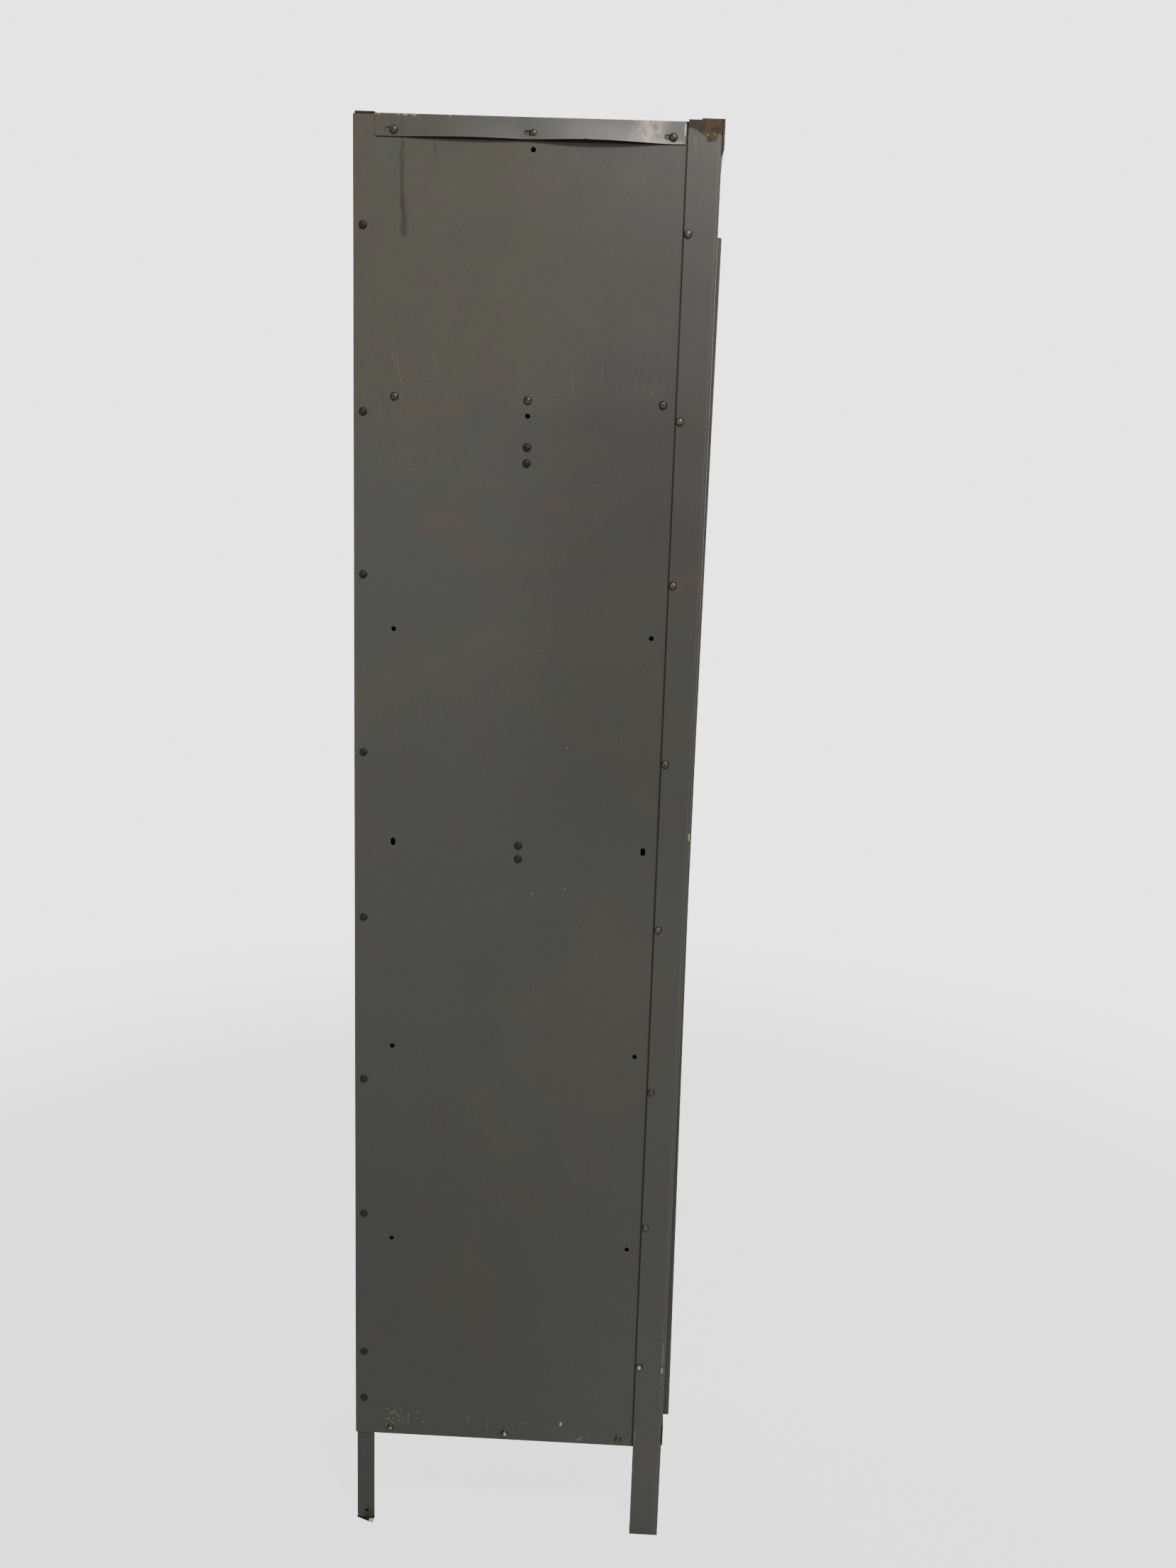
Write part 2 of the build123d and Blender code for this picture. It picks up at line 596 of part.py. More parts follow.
def shelf_hook():
    """Double hook under the shelf."""
    y = y_at(SHELF_HOOK_DEPTH)
    top = SHELF_TOP - PANEL_T
    depths = (SHELF_HOOK_DEPTH - HOOK_PLATE[1] / 2, SHELF_HOOK_DEPTH + HOOK_PLATE[1] / 2)
    hook = block((-20, 20), depths, (top - HOOK_PLATE[0], top))
    hook = fillet(hook.edges().filter_by(Axis.Z), 4.0)
    base = top - HOOK_PLATE[0]
    hook += rod((0, y, base + 0.5), (0, 0, -1), HOOK_ROD_R * 1.3, SHELF_HOOK_DROP - 8)
    low = base - SHELF_HOOK_DROP
    for sign in (-1, 1):
        hook += prong([(0, y, low + 10), (sign * SHELF_HOOK_SPREAD, y, low), (sign * (SHELF_HOOK_SPREAD + 4), y, low + 22)])
    return hook - [rod((x, y, top + 1), (0, 0, -1), HOLE_R, 5) for x in (-12, 12)]


# ---- Hinges ----------------------------------------------------------------------------------------
def knuckle_spans(z):
    """Heights of the hinge's knuckles, from the lowest."""
    pitch = HINGE_LENGTH / KNUCKLES
    low = z - HINGE_LENGTH / 2
    half_gap = KNUCKLE_GAP / 2
    return [(low + i * pitch + half_gap, low + (i + 1) * pitch - half_gap) for i in range(KNUCKLES)]


def knuckle_tube(span):
    return rod((AXIS_X, y_at(AXIS_DEPTH), span[0]), (0, 0, 1), KNUCKLE_R, span[1] - span[0])


def pin_bore(z):
    return rod((AXIS_X, y_at(AXIS_DEPTH), z - HINGE_LENGTH), (0, 0, 1), PIN_R + PIN_GAP, 2 * HINGE_LENGTH)


def frame_leaf(z):
    """Hinge leaf on the right upright's front face, with the odd knuckles."""
    clear = KNUCKLE_R + HINGE_GAP
    depths = (DEPTH, DEPTH + HINGE_T)
    leaf = block((AXIS_X + clear, AXIS_X + HINGE_LEAF), depths, (z - HINGE_LENGTH / 2, z + HINGE_LENGTH / 2))
    for span in knuckle_spans(z)[0::2]:
        leaf += block((AXIS_X, AXIS_X + clear), depths, span) + knuckle_tube(span)
    return leaf - pin_bore(z)


def door_leaf(z):
    """Hinge leaf on the door's edge, with the even knuckles."""
    clear = KNUCKLE_R + HINGE_GAP
    x = (DOOR_X, DOOR_X + HINGE_T)
    depths = (AXIS_DEPTH - HINGE_DOOR_LEAF, AXIS_DEPTH - clear)
    leaf = block(x, depths, (z - HINGE_LENGTH / 2, z + HINGE_LENGTH / 2))
    for span in knuckle_spans(z)[1::2]:
        leaf += block(x, (AXIS_DEPTH - clear, AXIS_DEPTH), span) + knuckle_tube(span)
    return leaf - pin_bore(z)


def hinge_pin(z):
    """Pin with a small head, in the frame's knuckles."""
    low = z - HINGE_LENGTH / 2 - 1
    top = knuckle_spans(z)[-1][1]
    pin = rod((AXIS_X, y_at(AXIS_DEPTH), low), (0, 0, 1), PIN_R, top - low)
    return pin + rod((AXIS_X, y_at(AXIS_DEPTH), top), (0, 0, 1), PIN_HEAD_R, PIN_HEAD_H)


# ---- Door ------------------------------------------------------------------------------------------
def louvre(z):
    """(slot cutter, blade) of one louvre pressed inwards."""
    inner = DOOR_FRONT - FRAME_T
    slot = block((-LOUVRE_HALF, LOUVRE_HALF), (inner - 1, DOOR_FRONT + 1), (z, z + LOUVRE_GAP))
    top = z + LOUVRE_GAP
    path = [(inner + 0.6, top), (inner - LOUVRE_REACH, z - 1.0)]
    blade = cross_sheet(path, LOUVRE_T, (-LOUVRE_HALF - 1, LOUVRE_HALF + 1))
    return slot, blade


def door_pan():
    """The door: a skin with flanges all round, lips at their back, louvres and the cup's hole."""
    x = (-DOOR_X, DOOR_X)
    z = (DOOR_BOTTOM, DOOR_TOP)
    outer = block(x, (DOOR_BACK, DOOR_FRONT), z)
    front = outer.faces().sort_by(Axis.Y)[0]
    outer = fillet(front.edges(), BEND + FRAME_T)
    inner_x = (-DOOR_X + FRAME_T, DOOR_X - FRAME_T)
    inner_z = (DOOR_BOTTOM + FRAME_T, DOOR_TOP - FRAME_T)
    hollow = block(inner_x, (DOOR_BACK + FRAME_T, DOOR_FRONT - FRAME_T), inner_z)
    hollow = fillet(hollow.faces().sort_by(Axis.Y)[0].edges(), BEND)
    mouth_x = (-DOOR_X + LATCH_LIP, DOOR_X - DOOR_LIP)
    mouth_z = (DOOR_BOTTOM + DOOR_LIP, DOOR_TOP - DOOR_LIP)
    mouth = block(mouth_x, (DOOR_BACK - 1, DOOR_BACK + FRAME_T + 1), mouth_z)
    body = outer - hollow - mouth
    pairs = [louvre(start + i * LOUVRE_PITCH) for start in LOUVRE_STARTS for i in range(LOUVRES)]
    body = body - [slot for slot, _ in pairs] + [blade for _, blade in pairs]
    cup_x = (CUP_X[0] - CUP_FIT, CUP_X[1] + CUP_FIT)
    cup_z = (CUP_Z[0] - CUP_FIT, CUP_Z[1] + CUP_FIT)
    hole = block(cup_x, (DOOR_FRONT - FRAME_T - 1, DOOR_FRONT + 1), cup_z)
    return body - fillet(hole.edges().filter_by(Axis.Y), CUP_CORNER + CUP_FIT)


def door_stiffener():
    """Hat channel down the inside of the skin."""
    front = DOOR_FRONT - FRAME_T
    left, right = STIFFENER_X
    path = [
        (left - STIFFENER_FLANGE, front),
        (left, front),
        (left, STIFFENER_BACK),
        (right, STIFFENER_BACK),
        (right, front),
        (right + STIFFENER_FLANGE, front),
    ]
    return upright_sheet(path, STIFFENER_T, STIFFENER_Z)


def handle_cup():
    """Pressed recess for the hand, with a rim on the skin and a slot for the trigger."""
    body = block(CUP_X, (CUP_BACK, DOOR_FRONT), CUP_Z)
    body = fillet(body.edges().filter_by(Axis.Y), CUP_CORNER)
    rim_x = (CUP_X[0] - CUP_RIM, CUP_X[1] + CUP_RIM)
    rim_z = (CUP_Z[0] - CUP_RIM, CUP_Z[1] + CUP_RIM)
    rim = block(rim_x, (DOOR_FRONT, DOOR_FRONT + CUP_RIM_T), rim_z)
    rim = fillet(rim.edges().filter_by(Axis.Y), CUP_CORNER + CUP_RIM)
    hollow_x = (CUP_X[0] + CUP_T, CUP_X[1] - CUP_T)
    hollow_z = (CUP_Z[0] + CUP_T, CUP_Z[1] - CUP_T)
    hollow = block(hollow_x, (CUP_BACK + CUP_T, DOOR_FRONT + CUP_RIM_T + 1), hollow_z)
    hollow = fillet(hollow.edges().filter_by(Axis.Y), CUP_CORNER - CUP_T)
    slot_x = (STEM_X[0] - 1, STEM_X[1] + 1)
    slot_z = (LATCH_Z - STEM_HALF - 1, LATCH_Z + STEM_HALF + LIFT + 1)
    slot = block(slot_x, (CUP_BACK - 1, CUP_BACK + CUP_T + 1), slot_z)
    return body + rim - hollow - slot


def eye_plate(x, back):
    """A padlock eye: a plate across X with a round front end and a hole."""
    depths = (back, EYE_DEPTH + EYE_HALF - 2.0)
    plate = block((x - EYE_T / 2, x + EYE_T / 2), depths, (EYE_Z - EYE_HALF, EYE_Z + EYE_HALF))
    front = plate.edges().filter_by(Axis.X).group_by(Axis.Y)[0]
    plate = fillet(front, 5.0)
    return plate - rod((x - 5, y_at(EYE_DEPTH), EYE_Z), (1, 0, 0), EYE_R, 10)


def padlock_eye():
    """The fixed eye, on the back of the cup."""
    return eye_plate(EYE_X, CUP_BACK + CUP_T)


def bar_guides():
    """Four steel guides that hold the lock bar against the latch-side flange."""
    bar_depths = (BAR_BACK - GUIDE_CLEAR, BAR_BACK + BAR_DEPTH + GUIDE_CLEAR)
    bar_x = (BAR_X[0] - GUIDE_CLEAR, BAR_X[1] + GUIDE_CLEAR)
    wall = -DOOR_X + FRAME_T
    solids = []
    for z in GUIDES:
        span = (z - GUIDE_HALF, z + GUIDE_HALF)
        shape = block((wall, bar_x[1] + GUIDE_T), (DOOR_BACK + FRAME_T + FIT, bar_depths[1] + GUIDE_T), span)
        back_x = (-DOOR_X + LATCH_LIP + FIT, bar_x[1] + GUIDE_T)
        shape += block(back_x, (bar_depths[0] - GUIDE_T, bar_depths[0]), span)
        solids.append(shape - block(bar_x, bar_depths, (span[0] - 1, span[1] + 1)))
    return solids


# ---- Latch -----------------------------------------------------------------------------------------
def lock_bar():
    """Shallow channel that slides in the guides, with a slot for each keeper."""
    span = BAR_Z
    body = block(BAR_X, (BAR_BACK, BAR_BACK + BAR_DEPTH), span)
    inside_x = (BAR_X[0] + BAR_T, BAR_X[1] - BAR_T)
    body -= block(inside_x, (BAR_BACK + BAR_T, BAR_BACK + BAR_DEPTH + 1), (span[0] - 1, span[1] + 1))
    for z in KEEPERS.values():
        slot_z = (z - KEEPER_HALF - LIFT - SLOT_ROOM, z + KEEPER_HALF + SLOT_ROOM)
        body -= block(SLOT_X, (BAR_BACK - 1, BAR_BACK + BAR_T + 1), slot_z)
    rivet_x = (LINK_X[0] + BAR_X[1]) / 2
    for offset in LINK_RIVETS:
        body -= rod((rivet_x, y_at(BAR_BACK - 5), LATCH_Z + offset), (0, -1, 0), LINK_RIVET_R + THREAD_GAP, 12)
    return body


def lift_trigger():
    """Link behind the cup, stem through its slot, finger tab and the moving padlock eye."""
    link_depths = (BAR_BACK - LINK_T, BAR_BACK)
    body = block(LINK_X, link_depths, (LATCH_Z - LINK_HALF, LATCH_Z + LINK_HALF))
    body += block(STEM_X, (BAR_BACK - LINK_T, TAB_FRONT - 6), (LATCH_Z - STEM_HALF, LATCH_Z + STEM_HALF))
    tab_back = CUP_BACK + CUP_T + 0.6
    tab = block(TAB_X, (tab_back, TAB_FRONT), (LATCH_Z - STEM_HALF, LATCH_Z - STEM_HALF + TAB_T))
    front_z = (LATCH_Z - STEM_HALF - 8, LATCH_Z - STEM_HALF + TAB_T)
    tab += block(TAB_X, (TAB_FRONT - TAB_T, TAB_FRONT), front_z)
    eye_x = EYE_X - EYE_STEP
    neck_z = (EYE_Z + EYE_HALF - 2.0, LATCH_Z - STEM_HALF + TAB_T)
    neck = block((eye_x - EYE_T / 2, eye_x + EYE_T / 2), (tab_back, tab_back + 4.0), neck_z)
    body += tab + neck + eye_plate(eye_x, tab_back)
    rivet_x = (LINK_X[0] + BAR_X[1]) / 2
    for offset in LINK_RIVETS:
        body -= rod((rivet_x, y_at(BAR_BACK - 5), LATCH_Z + offset), (0, -1, 0), LINK_RIVET_R + THREAD_GAP, 12)
    return body


def link_rivets():
    """Two rivets that join the trigger to the lock bar."""
    rivet_x = (LINK_X[0] + BAR_X[1]) / 2
    inner = BAR_BACK + BAR_T
    outer = BAR_BACK - LINK_T
    solids = []
    for offset in LINK_RIVETS:
        z = LATCH_Z + offset
        rivet = rod((rivet_x, y_at(outer), z), (0, -1, 0), LINK_RIVET_R, inner - outer)
        rivet += rod((rivet_x, y_at(inner), z), (0, -1, 0), LINK_RIVET_R * 1.6, 0.9)
        rivet += rod((rivet_x, y_at(outer), z), (0, 1, 0), LINK_RIVET_R * 1.6, 0.8)
        solids.append(rivet)
    return solids


def latch_clips():
    """Spring-steel strips on the lock bar above each keeper slot."""
    depths = (BAR_BACK + BAR_T, BAR_BACK + BAR_T + CLIP_T)
    solids = []
    for z in KEEPERS.values():
        low = z + KEEPER_HALF + SLOT_ROOM + 1
        solids.append(block(CLIP_X, depths, (low, low + CLIP_LENGTH)))
    return solids


# ---- Writing the nodes -----------------------------------------------------------------------------
def as_one(shapes):
    """One exportable shape from a piece or a list of separate pieces."""
    pieces = shapes if isinstance(shapes, list) else [shapes]
    return Compound(children=[solid for piece in pieces for solid in piece.solids()])


def fastener_nodes():
    """Bolts in one node for each group and side; nuts in one node for each side and the back."""
    nodes = {}
    groups = side_fasteners()
    left_bolts = {name: [bolt(*place) for place in places] for name, places in groups.items()}
    for name in ("upright", "rear_edge"):
        nodes[f"left_{name}_bolts"] = left_bolts[name]
        nodes[f"right_{name}_bolts"] = [mirrored(b) for b in left_bolts[name]]
    for name in ("top", "shelf", "floor", "hook"):
        nodes[f"{name}_bolts"] = left_bolts[name] + [mirrored(b) for b in left_bolts[name]]
    left_nuts = [nut(*place) for places in groups.values() for place in places]
    nodes["left_nuts"] = left_nuts
    nodes["right_nuts"] = [mirrored(n) for n in left_nuts]
    grip = 2 * PANEL_T + FRAME_T
    back = [((x, y_at(REAR), z), (0, 1, 0), grip) for x, z in back_bolt_places()]
    nodes["back_bolts"] = [bolt(*place) for place in back]
    hook_grip = PANEL_T + HOOK_PLATE[0]
    hook_y = y_at(SHELF_HOOK_DEPTH)
    hook_places = [((x, hook_y, SHELF_TOP), (0, 0, 1), hook_grip) for x in (-12, 12)]
    nodes["shelf_hook_bolts"] = [bolt(*place) for place in hook_places]
    nodes["inner_nuts"] = [nut(*place) for place in back + hook_places]
    return nodes


def all_nodes():
    """Every node by name."""
    nodes = {
        "right_upright": mirrored(upright()),
        "left_upright": upright(),
        "cap_rail": cap_rail(),
        "header_panel": header_panel(),
        "sill_rail": sill_rail(),
        "left_side_panel": side_panel(),
        "right_side_panel": mirrored(side_panel()),
        "back_panel": back_panel(),
        "left_rear_post": rear_post(),
        "right_rear_post": mirrored(rear_post()),
        "top_panel": top_panel(),
        "floor_panel": floor_panel(),
        "hat_shelf": hat_shelf(),
        "left_front_foot": front_foot(),
        "right_front_foot": mirrored(front_foot()),
        "left_rear_foot": rear_foot(),
        "right_rear_foot": mirrored(rear_foot()),
        "shelf_hook": shelf_hook(),
        "number_plate": number_plate(),
        "plate_rivets": plate_rivets(),
        "door_bumpers": door_bumpers(),
        "door_pan": door_pan(),
        "door_stiffener": door_stiffener(),
        "handle_cup": handle_cup(),
        "padlock_eye": padlock_eye(),
        "bar_guides": bar_guides(),
        "lock_bar": lock_bar(),
        "lift_trigger": lift_trigger(),
        "link_rivets": link_rivets(),
        "latch_clips": latch_clips(),
    }
    for level, drops in HOOK_DROPS.items():
        nodes[f"left_{level}_hook"] = wall_hook(drops)
        nodes[f"right_{level}_hook"] = mirrored(wall_hook(drops))
    for level, z in HINGES.items():
        nodes[f"{level}_hinge_frame_leaf"] = frame_leaf(z)
        nodes[f"{level}_hinge_door_leaf"] = door_leaf(z)
        nodes[f"{level}_hinge_pin"] = hinge_pin(z)
    for level, z in KEEPERS.items():
        nodes[f"{level}_keeper"] = keeper(z)
    nodes.update(fastener_nodes())
    return nodes


os.makedirs("parts", exist_ok=True)
for node_name, node_shape in all_nodes().items():
    export_step(as_one(node_shape), f"parts/{node_name}.step")
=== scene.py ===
import json
import math

import bmesh
import bpy
from mathutils import Matrix, Vector


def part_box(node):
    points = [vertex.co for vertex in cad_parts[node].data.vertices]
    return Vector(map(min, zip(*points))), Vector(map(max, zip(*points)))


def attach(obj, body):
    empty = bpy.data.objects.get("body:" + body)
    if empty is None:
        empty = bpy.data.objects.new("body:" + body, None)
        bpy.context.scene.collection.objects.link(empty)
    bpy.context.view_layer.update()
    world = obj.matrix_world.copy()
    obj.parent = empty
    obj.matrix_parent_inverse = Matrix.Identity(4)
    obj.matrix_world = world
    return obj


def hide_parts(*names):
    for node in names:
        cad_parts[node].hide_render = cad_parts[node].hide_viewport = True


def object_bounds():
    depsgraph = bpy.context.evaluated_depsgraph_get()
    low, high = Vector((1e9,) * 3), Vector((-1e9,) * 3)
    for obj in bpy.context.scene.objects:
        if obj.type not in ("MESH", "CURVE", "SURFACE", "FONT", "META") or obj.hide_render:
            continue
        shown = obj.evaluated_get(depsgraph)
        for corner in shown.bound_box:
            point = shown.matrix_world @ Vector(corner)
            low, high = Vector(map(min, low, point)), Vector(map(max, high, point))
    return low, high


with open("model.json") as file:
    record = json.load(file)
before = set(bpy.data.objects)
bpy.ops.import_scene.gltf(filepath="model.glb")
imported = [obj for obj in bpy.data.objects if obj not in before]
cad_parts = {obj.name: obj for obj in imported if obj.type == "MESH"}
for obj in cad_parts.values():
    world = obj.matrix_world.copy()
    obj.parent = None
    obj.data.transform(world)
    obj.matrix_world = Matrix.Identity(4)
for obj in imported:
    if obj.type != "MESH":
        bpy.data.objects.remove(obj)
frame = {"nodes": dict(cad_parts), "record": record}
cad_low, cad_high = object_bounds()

NODES = frame["nodes"]
MM = 0.001
DATUM_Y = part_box("left_side_panel")[1].y - 2.0 * MM  # depths are measured ahead of this plane
SIDE_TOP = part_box("left_side_panel")[1].z
SIDE_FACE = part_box("left_side_panel")[0].x


# ---- Shader graphs ---------------------------------------------------------------------------------
class Graph:
    """One material. Its masks are laid out in depth (mm ahead of the datum plane) and height (mm)."""

    def __init__(self, name):
        self.material = bpy.data.materials.new(name)
        self.material.use_nodes = True
        self.tree = self.material.node_tree
        self.shader = self.tree.nodes["Principled BSDF"]
        self.place = self.node("TexCoord").outputs["Object"]
        x, y, z = self.node("SeparateXYZ", (self.place,)).outputs
        self.across = self.math("MULTIPLY", x, 1000.0)
        self.depth = self.math("MULTIPLY_ADD", y, -1000.0, DATUM_Y * 1000)
        self.height = self.math("MULTIPLY", z, 1000.0)

    def link(self, value, socket):
        if isinstance(value, (int, float, tuple)):
            socket.default_value = value
        else:
            self.tree.links.new(value, socket)

    def node(self, kind, inputs=(), **settings):
        made = self.tree.nodes.new("ShaderNode" + kind)
        for key, value in settings.items():
            setattr(made, key, value)
        for socket, value in zip(made.inputs, inputs):
            self.link(value, socket)
        return made

    def math(self, operation, *values):
        return self.node("Math", values, operation=operation).outputs[0]

    def times(self, *values):
        result = values[0]
        for value in values[1:]:
            result = self.math("MULTIPLY", result, value)
        return result

    def band(self, value, start, end):
        """Rises smoothly from 0 at start to 1 at end."""
        made = self.node("MapRange", (value, start, end, 0.0, 1.0), interpolation_type="SMOOTHSTEP")
        return made.outputs[0]

    def noise(self, scale, detail=4.0, rough=0.5, stretch=(1.0, 1.0, 1.0), shift=0.0, distortion=0.0):
        moved = self.node("VectorMath", (self.place, stretch, (shift,) * 3), operation="MULTIPLY_ADD")
        made = self.node("TexNoise")
        for key, value in (("Scale", scale), ("Detail", detail), ("Roughness", rough)):
            made.inputs[key].default_value = value
        made.inputs["Distortion"].default_value = distortion
        self.link(moved.outputs[0], made.inputs["Vector"])
        return made.outputs["Fac"]

    def dots(self, scale, share, stretch=(1.0, 1.0, 1.0)):
        """Separate small round spots, in about this share of cells of 1 / scale metres."""
        moved = self.node("VectorMath", (self.place, stretch), operation="MULTIPLY")
        cells = self.node("TexVoronoi")
        cells.inputs["Scale"].default_value = scale
        self.link(moved.outputs[0], cells.inputs["Vector"])
        pick = self.node("SeparateColor", (cells.outputs["Color"],)).outputs[0]
        chosen = self.band(pick, 1.0 - share - 0.02, 1.0 - share + 0.02)
        return self.times(chosen, self.band(cells.outputs["Distance"], 0.42, 0.22))

    def mix(self, factor, first, second):
        made = self.node("Mix", data_type="RGBA")
        for index, value in ((0, factor), (6, first), (7, second)):
            self.link(value if isinstance(value, float) or index == 0 else colour(value), made.inputs[index])
        return made.outputs[2]

    def blend(self, factor, first, second):
        """Between two numbers."""
        made = self.node("MapRange", (factor, 0.0, 1.0, first, second))
        return made.outputs[0]

    def patch(self, depths, heights, blur):
        """1 inside a rectangle of depth and height, with a soft border."""
        sides = [
            self.band(self.depth, depths[0] - blur, depths[0] + blur),
            self.band(self.depth, depths[1] + blur, depths[1] - blur),
            self.band(self.height, heights[0] - blur, heights[0] + blur),
            self.band(self.height, heights[1] + blur, heights[1] - blur),
        ]
        return self.times(*sides)

    def bump(self, height, strength, distance, before=None):
        made = self.node("Bump")
        made.inputs["Strength"].default_value = strength
        made.inputs["Distance"].default_value = distance
        self.link(height, made.inputs["Height"])
        if before is not None:
            self.link(before, made.inputs["Normal"])
        return made.outputs[0]

    def finish(self, base, rough, normal=None, metallic=0.0, specular=0.5):
        self.link(base, self.shader.inputs["Base Color"])
        self.link(rough, self.shader.inputs["Roughness"])
        self.shader.inputs["Metallic"].default_value = metallic
        self.shader.inputs["Specular IOR Level"].default_value = specular
        if normal is not None:
            self.link(normal, self.shader.inputs["Normal"])
        return self.material


def colour(value):
    """sRGB bytes to a linear colour; sockets pass through."""
    if not isinstance(value, tuple):
        return value
    return (*[((c / 255 + 0.055) / 1.055) ** 2.4 if c > 10 else c / 255 / 12.92 for c in value], 1.0)


# ---- Paint -----------------------------------------------------------------------------------------
COOL = (67, 67, 63)
GREY = (68, 66, 65)
REDDISH = (73, 66, 63)
GREENISH = (66, 69, 62)
WARM = (73, 71, 61)
BROWN = (80, 69, 52)
RUST = (62, 45, 19)
DARK_RUST = (38, 28, 15)
CREAM = (190, 184, 150)
SCRATCH_TAPER = 6.0  # height over which a scratch fades out at each end


class Enamel(Graph):
    """Old baked enamel: cool grey with warm clouds, fine mottle, uneven gloss and a slightly wavy sheet."""

    def __init__(self, name, shade=1.0, warm=1.0):
        super().__init__(name)
        cloud = self.noise(2.6, 3.0, 0.55, distortion=0.6)
        warm_high = self.band(self.height, 1480.0, 1800.0)
        lifted = self.math("ADD", cloud, self.times(warm_high, 0.22))
        self.base = self.mix(self.times(self.band(lifted, 0.44, 0.66), warm), COOL, WARM)
        hue = self.noise(15.0, 4.0, 0.6, shift=11.0, distortion=0.5)
        redder_high = self.blend(self.band(self.height, 1350.0, 1560.0), 0.12, 0.5)
        self.base = self.mix(self.times(self.band(hue, 0.50, 0.68), redder_high), self.base, REDDISH)
        self.base = self.mix(self.times(self.band(hue, 0.46, 0.32), 0.5), self.base, GREENISH)
        greyer = self.times(self.band(self.depth, 180.0, 420.0), self.band(self.height, 1300.0, 1600.0), 0.6)
        self.base = self.mix(greyer, self.base, GREY)
        blotch = self.noise(9.0, 5.0, 0.62, shift=3.1, distortion=0.8)
        zone = self.times(self.band(self.height, 1250.0, 1450.0), self.band(self.height, 1720.0, 1600.0))
        self.base = self.mix(self.times(self.band(blotch, 0.52, 0.68), zone, 0.4), self.base, BROWN)
        grain = self.noise(420.0, 3.0, 0.7)
        self.value = self.blend(grain, 0.8, 1.2)
        # Painted light and shade: the enamel is darker towards the bottom and a little darker above 1.7 m;
        # lighter low down and high up towards the front; darker in the middle towards the front.
        painted_light_falloff = self.blend(self.band(self.height, 350.0, 950.0), 0.955 * shade, 1.19 * shade)
        painted_light_falloff = self.times(painted_light_falloff, self.blend(self.band(self.height, 1550.0, 1720.0), 1.0, 0.93))
        forward = self.band(self.depth, 120.0, 430.0)
        low_front = self.blend(self.times(forward, self.band(self.height, 800.0, 250.0)), 1.0, 1.15)
        middle = self.times(self.band(self.height, 950.0, 1150.0), self.band(self.height, 1720.0, 1600.0))
        mid_front = self.blend(self.times(self.band(self.depth, 170.0, 330.0), middle), 1.0, 0.86)
        high_front = self.blend(self.times(forward, self.band(self.height, 1820.0, 1930.0)), 1.0, 1.1)
        self.value = self.times(self.value, painted_light_falloff, low_front, mid_front, high_front)
        smudge = self.noise(14.0, 4.0, 0.6, shift=7.7)
        self.rough = self.blend(smudge, 0.36, 0.56)

    def paint(self, mask, tone, rough=None):
        self.base = self.mix(mask, self.base, tone)
        if rough is not None:
            made = self.node("MapRange", (mask, 0.0, 1.0, self.rough, rough))
            self.rough = made.outputs[0]

    def scratch(self, depth, heights, lean, width, tone, strength, wander=1.5):
        """A fine line that starts at this depth at its lower end and leans forwards by lean mm per mm."""
        middle = self.math("MULTIPLY_ADD", self.math("SUBTRACT", self.height, heights[0]), lean, depth)
        drift = self.blend(self.noise(60.0, 2.0, 0.5, shift=depth), -wander, wander)
        gap = self.math("ABSOLUTE", self.math("SUBTRACT", self.math("ADD", self.depth, drift), middle))
        starts = self.band(self.height, heights[0], heights[0] + SCRATCH_TAPER)
        ends = self.band(self.height, heights[1], heights[1] - SCRATCH_TAPER)
        mask = self.times(self.band(gap, width, width * 0.2), starts, ends, strength)
        self.paint(mask, tone)

    def edge_chips(self, edge_distance, reach, amount, tone, shift=0.0):
        """Chips in the paint within reach of an edge; edge_distance is a socket in mm."""
        chips = self.noise(120.0, 4.0, 0.65, shift=shift)
        near = self.band(edge_distance, reach, 0.0)
        level = self.math("ADD", chips, self.times(near, amount))
        mask = self.band(level, 0.86, 0.92)
        self.paint(mask, tone, 0.6)

    def done(self):
        factor = self.node("CombineColor", (self.value, self.value, self.value)).outputs[0]
        tinted = self.node("Mix", data_type="RGBA", blend_type="MULTIPLY")
        tinted.inputs[0].default_value = 1.0
        self.link(self.base, tinted.inputs[6])
        self.link(factor, tinted.inputs[7])
        peel = self.bump(self.noise(420.0, 3.0, 0.5), 0.12, 0.0003)
        wave = self.bump(self.noise(3.2, 1.0, 0.4, shift=5.0), 0.5, 0.004, peel)
        return self.finish(tinted.outputs[2], self.rough, wave)


# Runs of old dirt: depth, heights, lean, width, strength.
DRIPS = (
    (63.0, (1832.0, 1885.0), -0.02, 5.4, 0.32),
    (62.6, (1834.0, 1954.0), -0.028, 3.4, 0.42),
    (62.6, (1852.0, 1954.0), -0.028, 1.6, 0.26),
    (61.2, (1862.0, 1915.0), -0.04, 1.4, 0.3),
    (101.0, (1932.0, 1952.0), -0.03, 3.0, 0.36),
    (102.0, (1922.0, 1936.0), -0.08, 2.2, 0.2),
)
DRIP_TONE = (40, 39, 26)
# Bluish clouds: depths, heights, strength.
BLUISH_CLOUDS = (
    ((20.0, 185.0), (1575.0, 1650.0), 0.45),
    ((300.0, 420.0), (1660.0, 1760.0), 0.3),
    ((150.0, 300.0), (560.0, 980.0), 0.3),
    ((270.0, 400.0), (1845.0, 1945.0), 0.45),
)
# Flecks of lost paint: depths, heights, cells per metre, share of cells, strength.
FLECKS = (
    ((46.0, 70.0), (168.0, 184.0), 420.0, 0.4, 0.62),
    ((20.0, 110.0), (158.0, 190.0), 330.0, 0.05, 0.5),
    ((150.0, 240.0), (162.0, 186.0), 380.0, 0.05, 0.45),
    ((318.0, 346.0), (152.0, 159.0), 340.0, 0.3, 0.8),
)
FLECK_STRETCH = (1.0, 1.0, 0.45)
